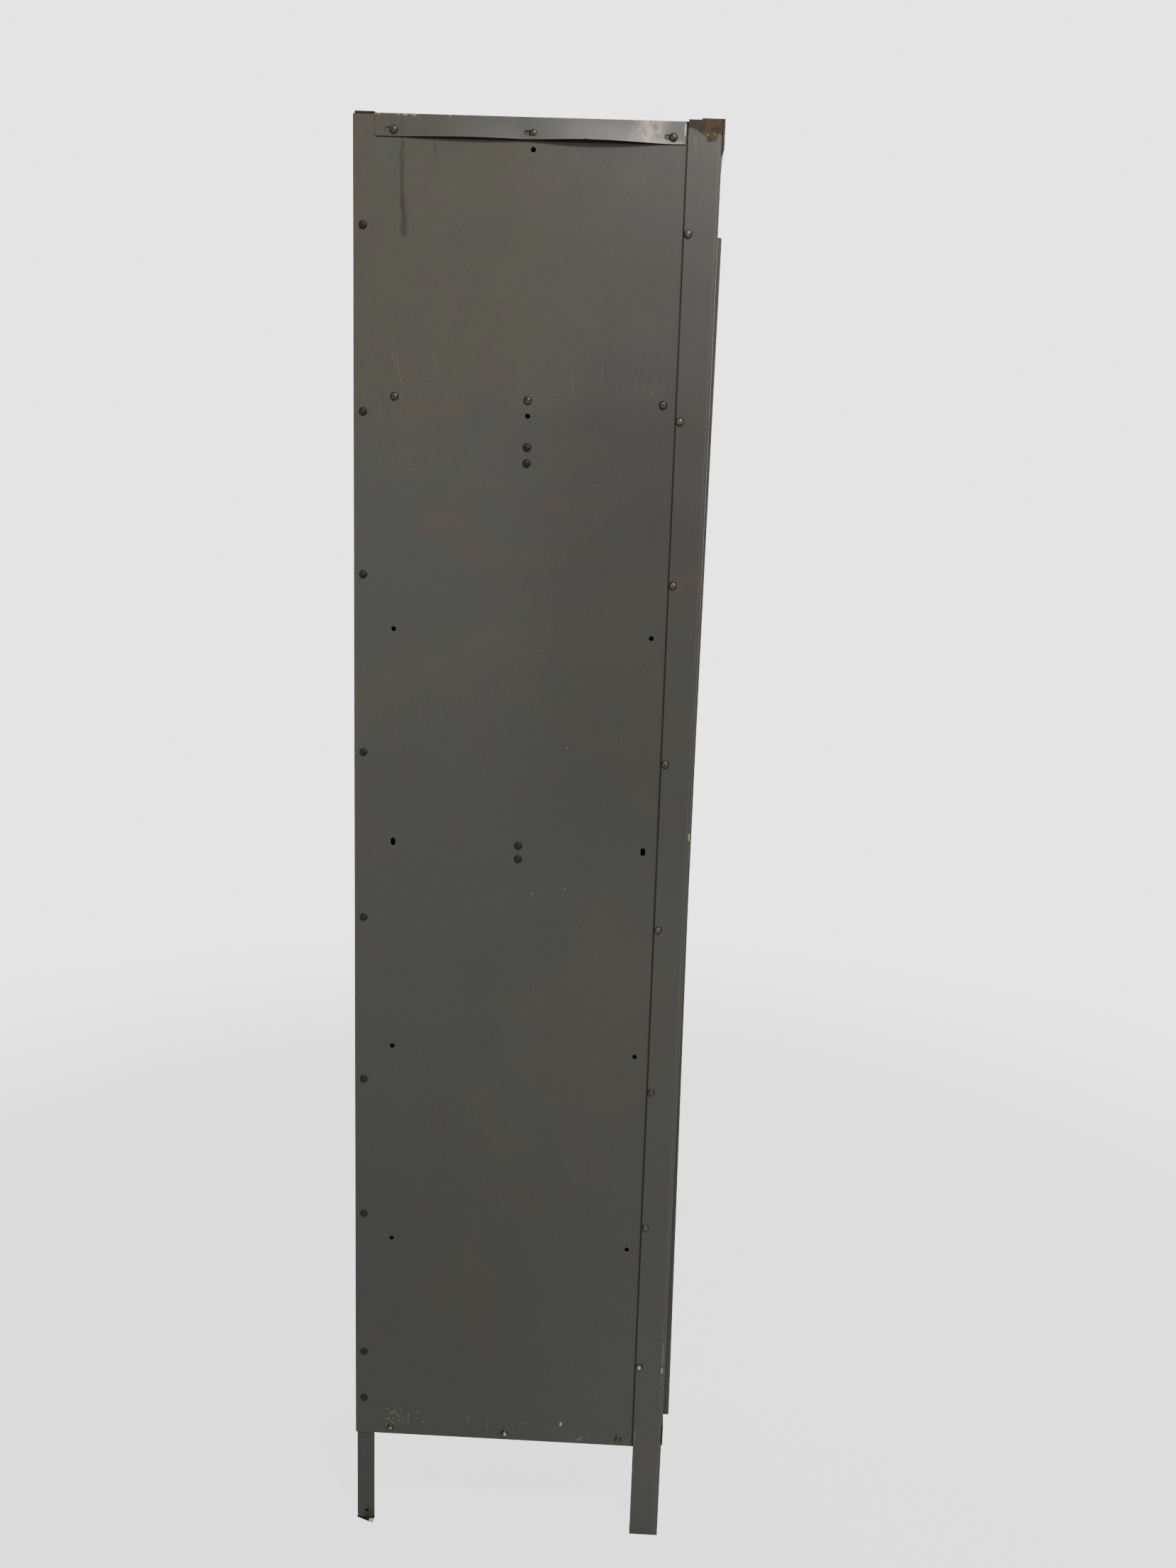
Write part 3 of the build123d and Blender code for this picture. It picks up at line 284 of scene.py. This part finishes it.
# Fine scratches: depth, heights, lean, width, strength.
SCRATCHES = (
    (61.0, (1655.0, 1700.0), -0.18, 0.8, 0.22),
    (54.0, (1672.0, 1702.0), -0.22, 0.7, 0.18),
    (108.0, (1672.0, 1700.0), -0.25, 0.7, 0.2),
    (284.0, (1640.0, 1684.0), -0.14, 0.7, 0.12),
    (318.0, (1664.0, 1732.0), -0.02, 0.6, 0.08),
    (76.0, (160.0, 184.0), 0.10, 1.0, 0.4),
    (196.0, (160.0, 184.0), -0.05, 1.2, 0.25),
    (242.0, (930.0, 952.0), 0.10, 0.8, 0.12),
)
# Single chips: depth, height, half width, half height, strength.
SPOTS = (
    (306.0, 178.0, 1.4, 2.6, 0.85),
    (245.0, 991.0, 0.5, 1.6, 0.4),
    (289.0, 1000.0, 0.9, 0.6, 0.45),
    (287.0, 1196.0, 0.7, 0.7, 0.35),
)


def side_enamel(name, marked):
    """The side panels. The marked one has the drip, scratches and chips of the left side."""
    g = Enamel(name)
    above_edge = g.math("SUBTRACT", g.height, 150.0)
    g.edge_chips(above_edge, 22.0, 0.12, (128, 126, 112), shift=2.0)
    # Painted shade: a near-black line along the seam where the upright stands proud of the side panel.
    seam_shadow = g.times(g.band(g.depth, 411.4, 413.4), g.blend(g.noise(30.0, 3.0, 0.6, shift=2.6), 0.7, 1.0))
    g.paint(seam_shadow, (16, 15, 14), 0.8)
    # Painted shadow: a near-black strip on the side panel where it runs up behind the top flange's lower
    # edge.
    gap = g.times(g.band(g.height, 1950.4, 1952.4), g.patch((27.0, 411.5), (1900.0, 1955.5), 0.6))
    g.paint(g.times(gap, 0.92), (12, 11, 9), 0.9)
    if marked:
        for depth, heights, lean, width, strength in DRIPS:
            g.scratch(depth, heights, lean, width, DRIP_TONE, strength, wander=5.0)
        shade = g.times(g.patch((62.0, 66.0), (1842.0, 1864.0), 5.0), 0.4)
        g.paint(shade, (50, 50, 38), 0.4)
        for depths, heights, strength in BLUISH_CLOUDS:
            clouds = g.band(g.noise(11.0, 4.0, 0.6, shift=8.8), 0.38, 0.62)
            g.paint(g.times(g.patch(depths, heights, 28.0), clouds, strength), (58, 63, 66))
        stain = g.times(g.patch((-10.0, 14.0), (1840.0, 1990.0), 16.0), 0.3)
        g.paint(stain, (84, 70, 60))
        greenish = g.times(g.patch((24.0, 52.0), (1905.0, 1945.0), 14.0), 0.4)
        g.paint(greenish, (74, 78, 66))
        streaks = g.noise(330.0, 3.0, 0.75, stretch=(1.0, 1.0, 0.10), shift=4.2)
        scuff = g.times(g.patch((345.0, 398.0), (1652.0, 1668.0), 7.0), g.band(streaks, 0.5, 0.7), 0.26)
        g.paint(scuff, (120, 118, 90))
        smears = g.noise(75.0, 5.0, 0.7, stretch=(1.0, 1.0, 0.6), shift=5.5)
        lower = g.times(g.patch((40.0, 290.0), (162.0, 184.0), 9.0), g.band(smears, 0.55, 0.75), 0.3)
        g.paint(lower, (116, 116, 106))
        for depths, heights, scale, share, strength in FLECKS:
            fleck = g.times(g.patch(depths, heights, 4.0), g.dots(scale, share, FLECK_STRETCH), strength)
            g.paint(fleck, (184, 180, 156), 0.6)
        for depth, heights, lean, width, strength in SCRATCHES:
            g.scratch(depth, heights, lean, width, (138, 136, 122), strength)
        for depth, height, wide, tall, strength in SPOTS:
            spot = g.patch((depth - wide, depth + wide), (height - tall, height + tall), 1.0)
            g.paint(g.times(spot, strength), (196, 192, 172), 0.6)
    return g.done()


# Chips along the left upright's front corner: depths, heights, tone, strength.
CORNER_CHIPS = (
    ((454.8, 458.0), (1075.0, 1086.0), (176, 178, 120), 1.0),
    ((451.6, 455.0), (271.0, 281.0), (158, 154, 142), 0.9),
    ((451.8, 455.0), (286.0, 322.0), (112, 106, 92), 0.75),
    ((455.6, 459.0), (296.0, 322.0), (86, 74, 52), 0.6),
    ((451.6, 454.0), (250.0, 266.0), (104, 102, 96), 0.7),
    ((416.0, 419.0), (158.0, 176.0), (96, 98, 98), 0.5),
)
FRONT_CORNER = 457.2  # depth of the uprights' front corner


def upright_enamel(name, marked):
    """The front uprights: rubbed along the front corner, and rusty at the top of the left one."""
    g = Enamel(name, 1.04, 0.45)
    front_gap = g.math("ABSOLUTE", g.math("SUBTRACT", g.depth, FRONT_CORNER))
    g.edge_chips(front_gap, 3.0, 0.1, (128, 126, 112), shift=9.0)
    rubbed = g.times(g.band(g.depth, 451.6, 452.6), g.band(g.depth, 454.6, 453.6))
    g.paint(g.times(rubbed, g.blend(g.noise(20.0, 3.0, 0.6, shift=1.7), 0.1, 0.7)), (88, 86, 78), 0.4)
    if marked:
        outside = g.band(g.across, -149.5, -151.0)
        ragged = g.noise(95.0, 6.0, 0.78, stretch=(1.0, 1.0, 0.8), shift=6.0)
        patchy = g.noise(90.0, 4.0, 0.65, shift=3.0)
        edge = g.node("MapRange", (g.depth, 412.0, 428.0, 1973.5, 1966.5)).outputs[0]
        tail = g.times(g.band(g.depth, 436.0, 440.0), g.band(g.depth, 452.0, 449.0), 8.0)
        edge = g.math("SUBTRACT", g.math("SUBTRACT", edge, tail), g.times(g.band(g.depth, 427.0, 434.0), 2.5))
        level = g.math("ADD", g.math("SUBTRACT", g.height, edge), g.blend(ragged, -9.0, 9.0))
        rusty = g.band(level, -0.9, 0.9)
        flakes = g.noise(420.0, 3.0, 0.65, shift=5.2)
        tone = g.mix(g.band(g.math("ADD", patchy, g.blend(flakes, -0.3, 0.3)), 0.42, 0.58), DARK_RUST, RUST)
        darker = g.times(g.patch((412.0, 429.0), (1960.0, 1992.0), 3.0), 0.55)
        tone = g.mix(darker, tone, DARK_RUST)
        g.paint(g.times(rusty, 0.94), tone, 0.8)
        bare = g.band(g.noise(300.0, 3.0, 0.6), 0.54, 0.62)
        bare_line = g.times(g.patch((430.0, 450.0), (1963.6, 1966.0), 1.2), bare, outside)
        g.paint(g.times(bare_line, 0.6), (134, 124, 104), 0.5)
        streaky = g.noise(150.0, 4.0, 0.65, stretch=(1.0, 1.0, 0.2), shift=3.3)
        haze = g.times(g.patch((414.0, 458.0), (1936.0, 1964.0), 9.0), g.band(streaky, 0.42, 0.72))
        g.paint(g.times(haze, 0.2), (112, 108, 98), 0.55)
        for depths, heights, tone, strength in CORNER_CHIPS:
            ragged_chip = g.math("ADD", g.patch(depths, heights, 2.0), g.blend(flakes, -0.55, 0.55))
            chipped = g.times(g.band(ragged_chip, 0.45, 0.6), g.band(patchy, 0.3, 0.44), outside)
            g.paint(g.times(chipped, g.patch(depths, heights, 2.4), strength), tone, 0.6)
        fold = g.times(g.band(g.depth, 454.6, 455.6), g.band(g.depth, 456.4, 455.8), 0.35)
        g.paint(fold, (40, 39, 36))
    return g.done()


def top_enamel():
    """The top panel: painted light brightens its left flange towards the front; the flange is worn through
    near the last bolt.
    """
    g = Enamel("enamel_top")
    outside = g.band(g.across, -146.0, -151.0)
    stained = g.times(g.patch((26.0, 50.0), (1948.0, 1990.0), 6.0), outside, 0.3)
    g.paint(stained, (80, 68, 58))
    # Painted light: the flange is lighter in two bands towards the front; a darker band lies just before the
    # middle bolt.
    g.paint(g.times(g.band(g.depth, 80.0, 200.0), outside, 0.5), (90, 89, 89), 0.4)
    g.paint(g.times(g.band(g.depth, 225.0, 300.0), outside, 0.55), (110, 107, 106), 0.36)
    g.paint(g.times(g.patch((204.0, 222.0), (1948.0, 1990.0), 7.0), outside, 0.5), (76, 75, 75), 0.4)
    worn = g.noise(85.0, 5.0, 0.7, stretch=(1.0, 1.0, 0.8), shift=2.2)
    near_bolt = g.times(g.patch((350.0, 386.0), (1946.0, 1985.0), 12.0), g.band(worn, 0.34, 0.66), outside)
    g.paint(g.times(near_bolt, 0.85), (172, 161, 145), 0.5)
    past_bolt = g.times(g.band(g.depth, 387.0, 395.0), g.band(g.height, 1957.0, 1963.0), outside, 0.45)
    g.paint(past_bolt, (94, 90, 84), 0.45)
    low_edge = g.times(g.patch((372.0, 409.0), (1950.0, 1956.0), 3.0), outside, 0.5)
    g.paint(low_edge, (172, 162, 144), 0.45)
    # Painted highlight: a pale line down the front end of the flange.
    front_edge_highlight = g.times(g.patch((410.2, 414.0), (1963.0, 1976.0), 0.6), outside)
    g.paint(g.times(front_edge_highlight, 0.8), (190, 184, 170), 0.5)
    g.scratch(59.5, (1950.0, 1980.0), 0.02, 1.6, (52, 52, 40), 0.45, 2.4)
    nick = g.times(g.patch((287.0, 291.5), (1948.0, 1954.4), 1.0), outside)
    g.paint(nick, (30, 28, 25), 0.7)
    chips = g.noise(330.0, 4.0, 0.7, shift=1.0)
    for depths, amount in (((26.0, 34.0), 0.6), ((54.0, 78.0), 0.65), ((119.0, 122.0), 0.8)):
        chip = g.times(g.patch(depths, (1976.6, 1979.4), 0.9), g.band(chips, 0.47, 0.57), outside)
        g.paint(g.times(chip, amount), (168, 150, 130), 0.6)
    rear = g.band(g.depth, 26.0, 24.0)
    g.paint(g.times(rear, 0.9), (16, 15, 13), 0.6)
    return g.done()


def foot_enamel():
    """The rear feet: mottled near black as painted shade, with a fleck of cream paint at the tip of the left
    one's lug.
    """
    g = Graph("enamel_rear_foot")
    dark_mottle = g.noise(120.0, 4.0, 0.6)
    # Painted shade: the feet are painted a mottled near black.
    base = g.mix(g.band(dark_mottle, 0.35, 0.65), (20, 18, 14), (44, 40, 31))
    tip = g.times(g.band(g.across, -151.5, -153.5), g.band(g.depth, 18.5, 21.0), g.band(dark_mottle, 0.34, 0.44))
    base = g.mix(tip, base, (226, 218, 150))
    return g.finish(base, g.blend(dark_mottle, 0.6, 0.8), g.bump(dark_mottle, 0.2, 0.0004))


def post_enamel():
    """The rear posts: darker than the panels, rubbed to a pale line where they meet the foot."""
    g = Enamel("enamel_rear_post", 0.9)
    worn = g.noise(90.0, 3.0, 0.6, shift=2.0)
    line = g.times(g.patch((-4.0, 27.0), (2.0, 4.4), 0.8), g.band(worn, 0.35, 0.55), 0.6)
    g.paint(line, (128, 124, 104), 0.5)
    mark = g.times(g.patch((13.0, 16.0), (16.0, 30.0), 1.5), g.band(worn, 0.3, 0.5), 0.4)
    g.paint(mark, (44, 34, 26), 0.6)
    return g.done()


def plain_enamel(name, shade=1.0):
    return Enamel(name, shade).done()


def trim_enamel():
    """The cap and bottom rails: near black as painted shade, with rusty patches."""
    g = Graph("trim_enamel")
    patchy = g.noise(30.0, 4.0, 0.6, shift=8.0)
    # Painted shade: the rails are painted near black.
    base = g.mix(g.band(patchy, 0.45, 0.7), (34, 32, 30), (58, 46, 36))
    rough = g.blend(patchy, 0.35, 0.6)
    return g.finish(base, rough, g.bump(g.noise(300.0, 3.0, 0.5), 0.15, 0.0003))


def bolt_paint(name, light, dark, rough, face, marks=()):
    """Painted round heads with painted shade, near black, where they meet the sheet, which lies face mm from
    the middle plane.

    marks are (depths, heights, tone) where a head on the left side has lost its paint.
    """
    g = Graph(name)
    blotch = g.noise(260.0, 3.0, 0.6, shift=1.0)
    base = g.mix(g.band(blotch, 0.35, 0.65), dark, light)
    stand = g.math("SUBTRACT", g.math("ABSOLUTE", g.across), face)
    # Painted shade: near black on the lowest part of the head, where it meets the sheet.
    base = g.mix(g.times(g.band(stand, 2.4, 0.7), 0.95), base, (10, 9, 8))
    left = g.band(g.across, 0.0, -1.0)
    for depths, heights, tone in marks:
        lost = g.times(g.patch(depths, heights, 0.9), left, g.band(stand, 1.2, 2.2))
        base = g.mix(lost, base, tone)
    roughness = g.blend(blotch, rough, rough + 0.2)
    return g.finish(base, roughness, g.bump(blotch, 0.3, 0.0004), metallic=0.15)


def plated(name, light, dark, rough, metallic=0.9):
    """Dull zinc or nickel: fine brushing, cloudy patches and a little tarnish."""
    g = Graph(name)
    cloud = g.noise(55.0, 4.0, 0.6)
    brush = g.noise(700.0, 2.0, 0.5, stretch=(1.0, 1.0, 0.06))
    base = g.mix(g.band(cloud, 0.35, 0.7), light, dark)
    roughness = g.math("ADD", g.blend(brush, rough - 0.08, rough + 0.08), g.blend(cloud, 0.0, 0.1))
    return g.finish(base, roughness, g.bump(brush, 0.1, 0.0002), metallic=metallic)


def rubber():
    g = Graph("bumper_rubber")
    dust = g.noise(180.0, 4.0, 0.6)
    return g.finish(g.mix(g.band(dust, 0.4, 0.8), (18, 18, 18), (44, 42, 40)), g.blend(dust, 0.7, 0.9))


# Bare spots on bolt heads: depths, heights, tone.
FLOOR_BOLT_MARKS = (
    ((50.4, 53.0), (157.4, 159.4), CREAM),
    ((221.6, 225.0), (156.6, 160.2), (204, 198, 168)),
)
UPRIGHT_BOLT_MARKS = (((417.4, 421.4), (277.6, 283.0), (206, 198, 158)),)
MATERIALS = {
    "left_side": side_enamel("enamel_left_side", True),
    "right_side": side_enamel("enamel_right_side", False),
    "left_upright": upright_enamel("enamel_left_upright", True),
    "right_upright": upright_enamel("enamel_right_upright", False),
    "top": top_enamel(),
    "body": plain_enamel("enamel_body"),
    "inside": plain_enamel("enamel_inside", 0.95),
    "door": plain_enamel("enamel_door"),
    "leg": plain_enamel("enamel_leg", 0.92),
    "rear_foot": foot_enamel(),
    "rear_post": post_enamel(),
    "trim": trim_enamel(),
    "bolt": bolt_paint("bolt_enamel", (82, 78, 68), (50, 47, 41), 0.22, 150.9, FLOOR_BOLT_MARKS),
    "top_bolt": bolt_paint("bolt_top", (84, 78, 64), (52, 48, 38), 0.26, 151.8),
    "front_bolt": bolt_paint("bolt_front", (98, 93, 84), (60, 56, 49), 0.22, 152.4, UPRIGHT_BOLT_MARKS),
    "dark_bolt": bolt_paint("bolt_dark", (42, 39, 28), (22, 21, 15), 0.55, 150.9),
    "plated": plated("zinc_plate", (150, 150, 146), (110, 108, 102), 0.38),
    "nickel": plated("nickel_plate", (170, 167, 159), (144, 140, 131), 0.3),
    "hook": plated("hook_zinc", (140, 139, 135), (92, 88, 82), 0.42),
    "plate": plated("plate_aluminium", (184, 184, 182), (166, 166, 164), 0.38),
    "rubber": rubber(),
}
BY_SLOT = {
    "body_enamel": "body",
    "leg_enamel": "leg",
    "trim_enamel": "trim",
    "painted_bolts": "bolt",
    "plated_steel": "plated",
    "nickel_steel": "nickel",
    "hook_steel": "hook",
    "plate_aluminium": "plate",
    "bumper_rubber": "rubber",
}
BY_NODE = {
    "left_side_panel": "left_side",
    "right_side_panel": "right_side",
    "left_upright": "left_upright",
    "right_upright": "right_upright",
    "top_panel": "top",
    "door_pan": "door",
    "door_stiffener": "door",
    "hat_shelf": "inside",
    "floor_panel": "inside",
    "left_rear_foot": "rear_foot",
    "right_rear_foot": "rear_foot",
    "left_rear_post": "rear_post",
    "right_rear_post": "rear_post",
    "top_bolts": "top_bolt",
    "left_upright_bolts": "front_bolt",
    "right_upright_bolts": "front_bolt",
    "left_rear_edge_bolts": "dark_bolt",
    "right_rear_edge_bolts": "dark_bolt",
    "hook_bolts": "dark_bolt",
}
SLOTS = {part["node"]: part["material_slot"] for part in frame["record"]["subparts"]}


def material_for(node):
    return MATERIALS[BY_NODE.get(node, BY_SLOT[SLOTS[node]])]


for node, obj in NODES.items():
    for slot in obj.material_slots:
        slot.material = material_for(node)


# ---- Sheet metal that is no longer true ------------------------------------------------------------
def reshaped(node, body, name, cuts, move):
    """A copy of a node's sheet, cut across into strips and then moved point by point."""
    mesh = NODES[node].data.copy()
    mesh.name = name
    shape = bmesh.new()
    shape.from_mesh(mesh)
    bmesh.ops.remove_doubles(shape, verts=shape.verts, dist=1e-6)
    for point, normal in cuts:
        everything = [*shape.verts, *shape.edges, *shape.faces]
        bmesh.ops.bisect_plane(shape, geom=everything, plane_co=point, plane_no=normal)
    for vertex in shape.verts:
        vertex.co += move(vertex.co)
    shape.to_mesh(mesh)
    shape.free()
    mesh.shade_smooth()
    mesh.set_sharp_from_angle(angle=math.radians(28))
    piece = bpy.data.objects.new(name, mesh)
    bpy.context.scene.collection.objects.link(piece)
    mesh.materials.clear()
    mesh.materials.append(material_for(node))
    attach(piece, body)
    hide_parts(node)
    return piece


DOOR_LOW, DOOR_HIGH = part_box("door_pan")
JOINTS = frame["record"]["behaviour"]["joints"]
HINGE_X = [joint["pos_m"][0] for joint in JOINTS if joint["type"] == "hinge"][0]
BOW_TOP_START = 1.10  # heights past which the door's latch edge stands out, in metres
BOW_FOOT_START = 1.00
BOW_TOP = 2.8 * MM
BOW_FOOT = 7.0 * MM


def door_bow(point):
    """The latch edge stands out a little at the top and more at the bottom; the hinge edge is held."""
    above = max(0.0, (point.z - BOW_TOP_START) / (DOOR_HIGH.z - BOW_TOP_START))
    below = max(0.0, (BOW_FOOT_START - point.z) / (BOW_FOOT_START - DOOR_LOW.z))
    out = BOW_TOP * above**1.5 + BOW_FOOT * below**1.2
    share = (HINGE_X - point.x) / (HINGE_X - DOOR_LOW.x)
    return Vector((0, -out * share, 0))


door_cuts = [((0, 0, z * MM), (0, 0, 1)) for z in range(240, 1840, 40)]
for node, body in (
    ("door_pan", "door"),
    ("door_stiffener", "door"),
    ("bar_guides", "door"),
    ("lock_bar", "latch"),
    ("latch_clips", "latch"),
):
    reshaped(node, body, "bowed_" + node, door_cuts, door_bow)

# Bulges of the left (-1) and right (1) flange: start and end depth, how far out, skew.
BULGES = {
    -1: ((56.0, 240.0, 3.6, 1.0), (212.0, 392.0, 5.9, 0.9)),
    1: ((60.0, 216.0, 2.6, 1.0), (230.0, 390.0, 2.2, 1.0)),
}
FLANGE_DROP = SIDE_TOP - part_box("top_panel")[0].z


def flange_bulge(point):
    """Between its bolts the side flange's lower edge stands away from the side panel."""
    if abs(point.x) < abs(SIDE_FACE) - 0.1 * MM or point.z > SIDE_TOP:
        return Vector((0, 0, 0))
    side = math.copysign(1, point.x)
    depth = (DATUM_Y - point.y) / MM
    drop = (SIDE_TOP - point.z) / FLANGE_DROP
    out = 0.0
    for start, end, amount, skew in BULGES[side]:
        along = (depth - start) / (end - start)
        if 0 < along < 1:
            out += amount * math.sin(math.pi * along**skew) ** 1.1
    lift = 0.02 * out**2
    return Vector((side * out * drop**1.6 * MM, 0, lift * drop**2 * MM))


flange_cuts = [((0, DATUM_Y - depth * MM, 0), (0, 1, 0)) for depth in range(30, 412, 6)]
flange_cuts += [((0, 0, SIDE_TOP - drop * MM), (0, 0, 1)) for drop in (4, 8, 12, 15, 18, 21, 24)]
reshaped("top_panel", "cabinet", "bulged_top_panel", flange_cuts, flange_bulge)


# ---- Floor, lights and camera ----------------------------------------------------------------------
WHITE = 3.2  # how bright the empty studio looks to the camera


def add_floor():
    mesh = bpy.data.meshes.new("floor")
    shape = bmesh.new()
    bmesh.ops.create_circle(shape, cap_ends=True, segments=96, radius=14.0)
    shape.to_mesh(mesh)
    shape.free()
    floor = bpy.data.objects.new("floor", mesh)
    bpy.context.scene.collection.objects.link(floor)
    floor.location.z = cad_low.z
    g = Graph("floor")
    g.finish(g.mix(g.noise(1.5, 2.0), (236, 236, 235), (241, 241, 240)), 0.9, specular=0.1)
    glow = g.node("Emission")
    glow.inputs["Color"].default_value = (1, 1, 1, 1)
    seen = g.node("LightPath").outputs["Is Camera Ray"]
    g.link(g.blend(seen, 0.62, WHITE), glow.inputs["Strength"])
    distance = g.node("VectorMath", (g.place,), operation="LENGTH").outputs["Value"]
    near = g.blend(seen, 0.42, 0.6)
    far = g.band(distance, 0.2, 3.0)
    joined = g.node("MixShader", (g.math("MAXIMUM", near, far),))
    g.tree.links.new(g.shader.outputs[0], joined.inputs[1])
    g.tree.links.new(glow.outputs[0], joined.inputs[2])
    g.tree.links.new(joined.outputs[0], g.tree.nodes["Material Output"].inputs["Surface"])
    mesh.materials.append(g.material)


def add_light(name, place, target, size, power, tint=(1.0, 1.0, 1.0)):
    lamp = bpy.data.lights.new(name, "AREA")
    lamp.shape = "RECTANGLE"
    lamp.size, lamp.size_y = size
    lamp.energy = power
    lamp.color = tint
    obj = bpy.data.objects.new(name, lamp)
    obj.location = place
    obj.rotation_euler = (Vector(target) - Vector(place)).to_track_quat("-Z", "Y").to_euler()
    bpy.context.scene.collection.objects.link(obj)


def add_world():
    world = bpy.data.worlds.new("studio")
    bpy.context.scene.world = world
    world.use_nodes = True
    tree = world.node_tree
    tree.nodes["Background"].inputs["Color"].default_value = (0.9, 0.95, 1.0, 1)
    tree.nodes["Background"].inputs["Strength"].default_value = 0.31
    white = tree.nodes.new("ShaderNodeBackground")
    white.inputs["Color"].default_value = (1, 1, 1, 1)
    white.inputs["Strength"].default_value = WHITE
    path = tree.nodes.new("ShaderNodeLightPath")
    mixed = tree.nodes.new("ShaderNodeMixShader")
    tree.links.new(path.outputs["Is Camera Ray"], mixed.inputs[0])
    tree.links.new(tree.nodes["Background"].outputs[0], mixed.inputs[1])
    tree.links.new(white.outputs[0], mixed.inputs[2])
    tree.links.new(mixed.outputs[0], tree.nodes["World Output"].inputs["Surface"])


def add_camera():
    """1.5 m out from the left side and 1.4 m up, looking slightly down."""
    data = bpy.data.cameras.new("photo_camera")
    data.sensor_width = 36.0
    data.lens = 26.04
    data.shift_x = -0.02652
    data.shift_y = -0.00277
    data.clip_start = 0.05
    obj = bpy.data.objects.new("photo_camera", data)
    bpy.context.scene.collection.objects.link(obj)
    place = Vector((-1.6609, DATUM_Y - 0.4060, 1.4061))
    right = Vector((0.02835, -0.9989, 0.03735))
    forward = Vector((0.98634, 0.02189, -0.16329))
    up = right.cross(forward)
    turn = Matrix((right, up, -forward)).transposed()
    obj.matrix_world = Matrix.Translation(place) @ turn.to_4x4()
    bpy.context.scene.camera = obj


add_floor()
add_world()
add_light("key", (-1.7, -0.9, 3.5), (0, 0, 1.3), (0.2, 0.2), 55.0, (1.0, 0.97, 0.93))
add_light("overhead", (-0.9, -0.6, 3.6), (0, 0, 1.4), (1.8, 1.2), 7.0, (1.0, 0.97, 0.92))
add_light("side_fill", (-3.2, 1.6, 1.8), (0, 0, 1.0), (2.2, 2.2), 13.0, (0.97, 0.98, 1.0))
add_light("right_fill", (3.0, -1.6, 2.4), (0, 0, 1.0), (2.0, 2.0), 60.0)
add_light("front_fill", (0.5, -3.6, 1.9), (0, 0, 1.0), (2.0, 2.0), 45.0)
add_light("back_fill", (0.8, 3.2, 2.2), (0, 0, 1.0), (2.0, 2.0), 30.0)
add_camera()
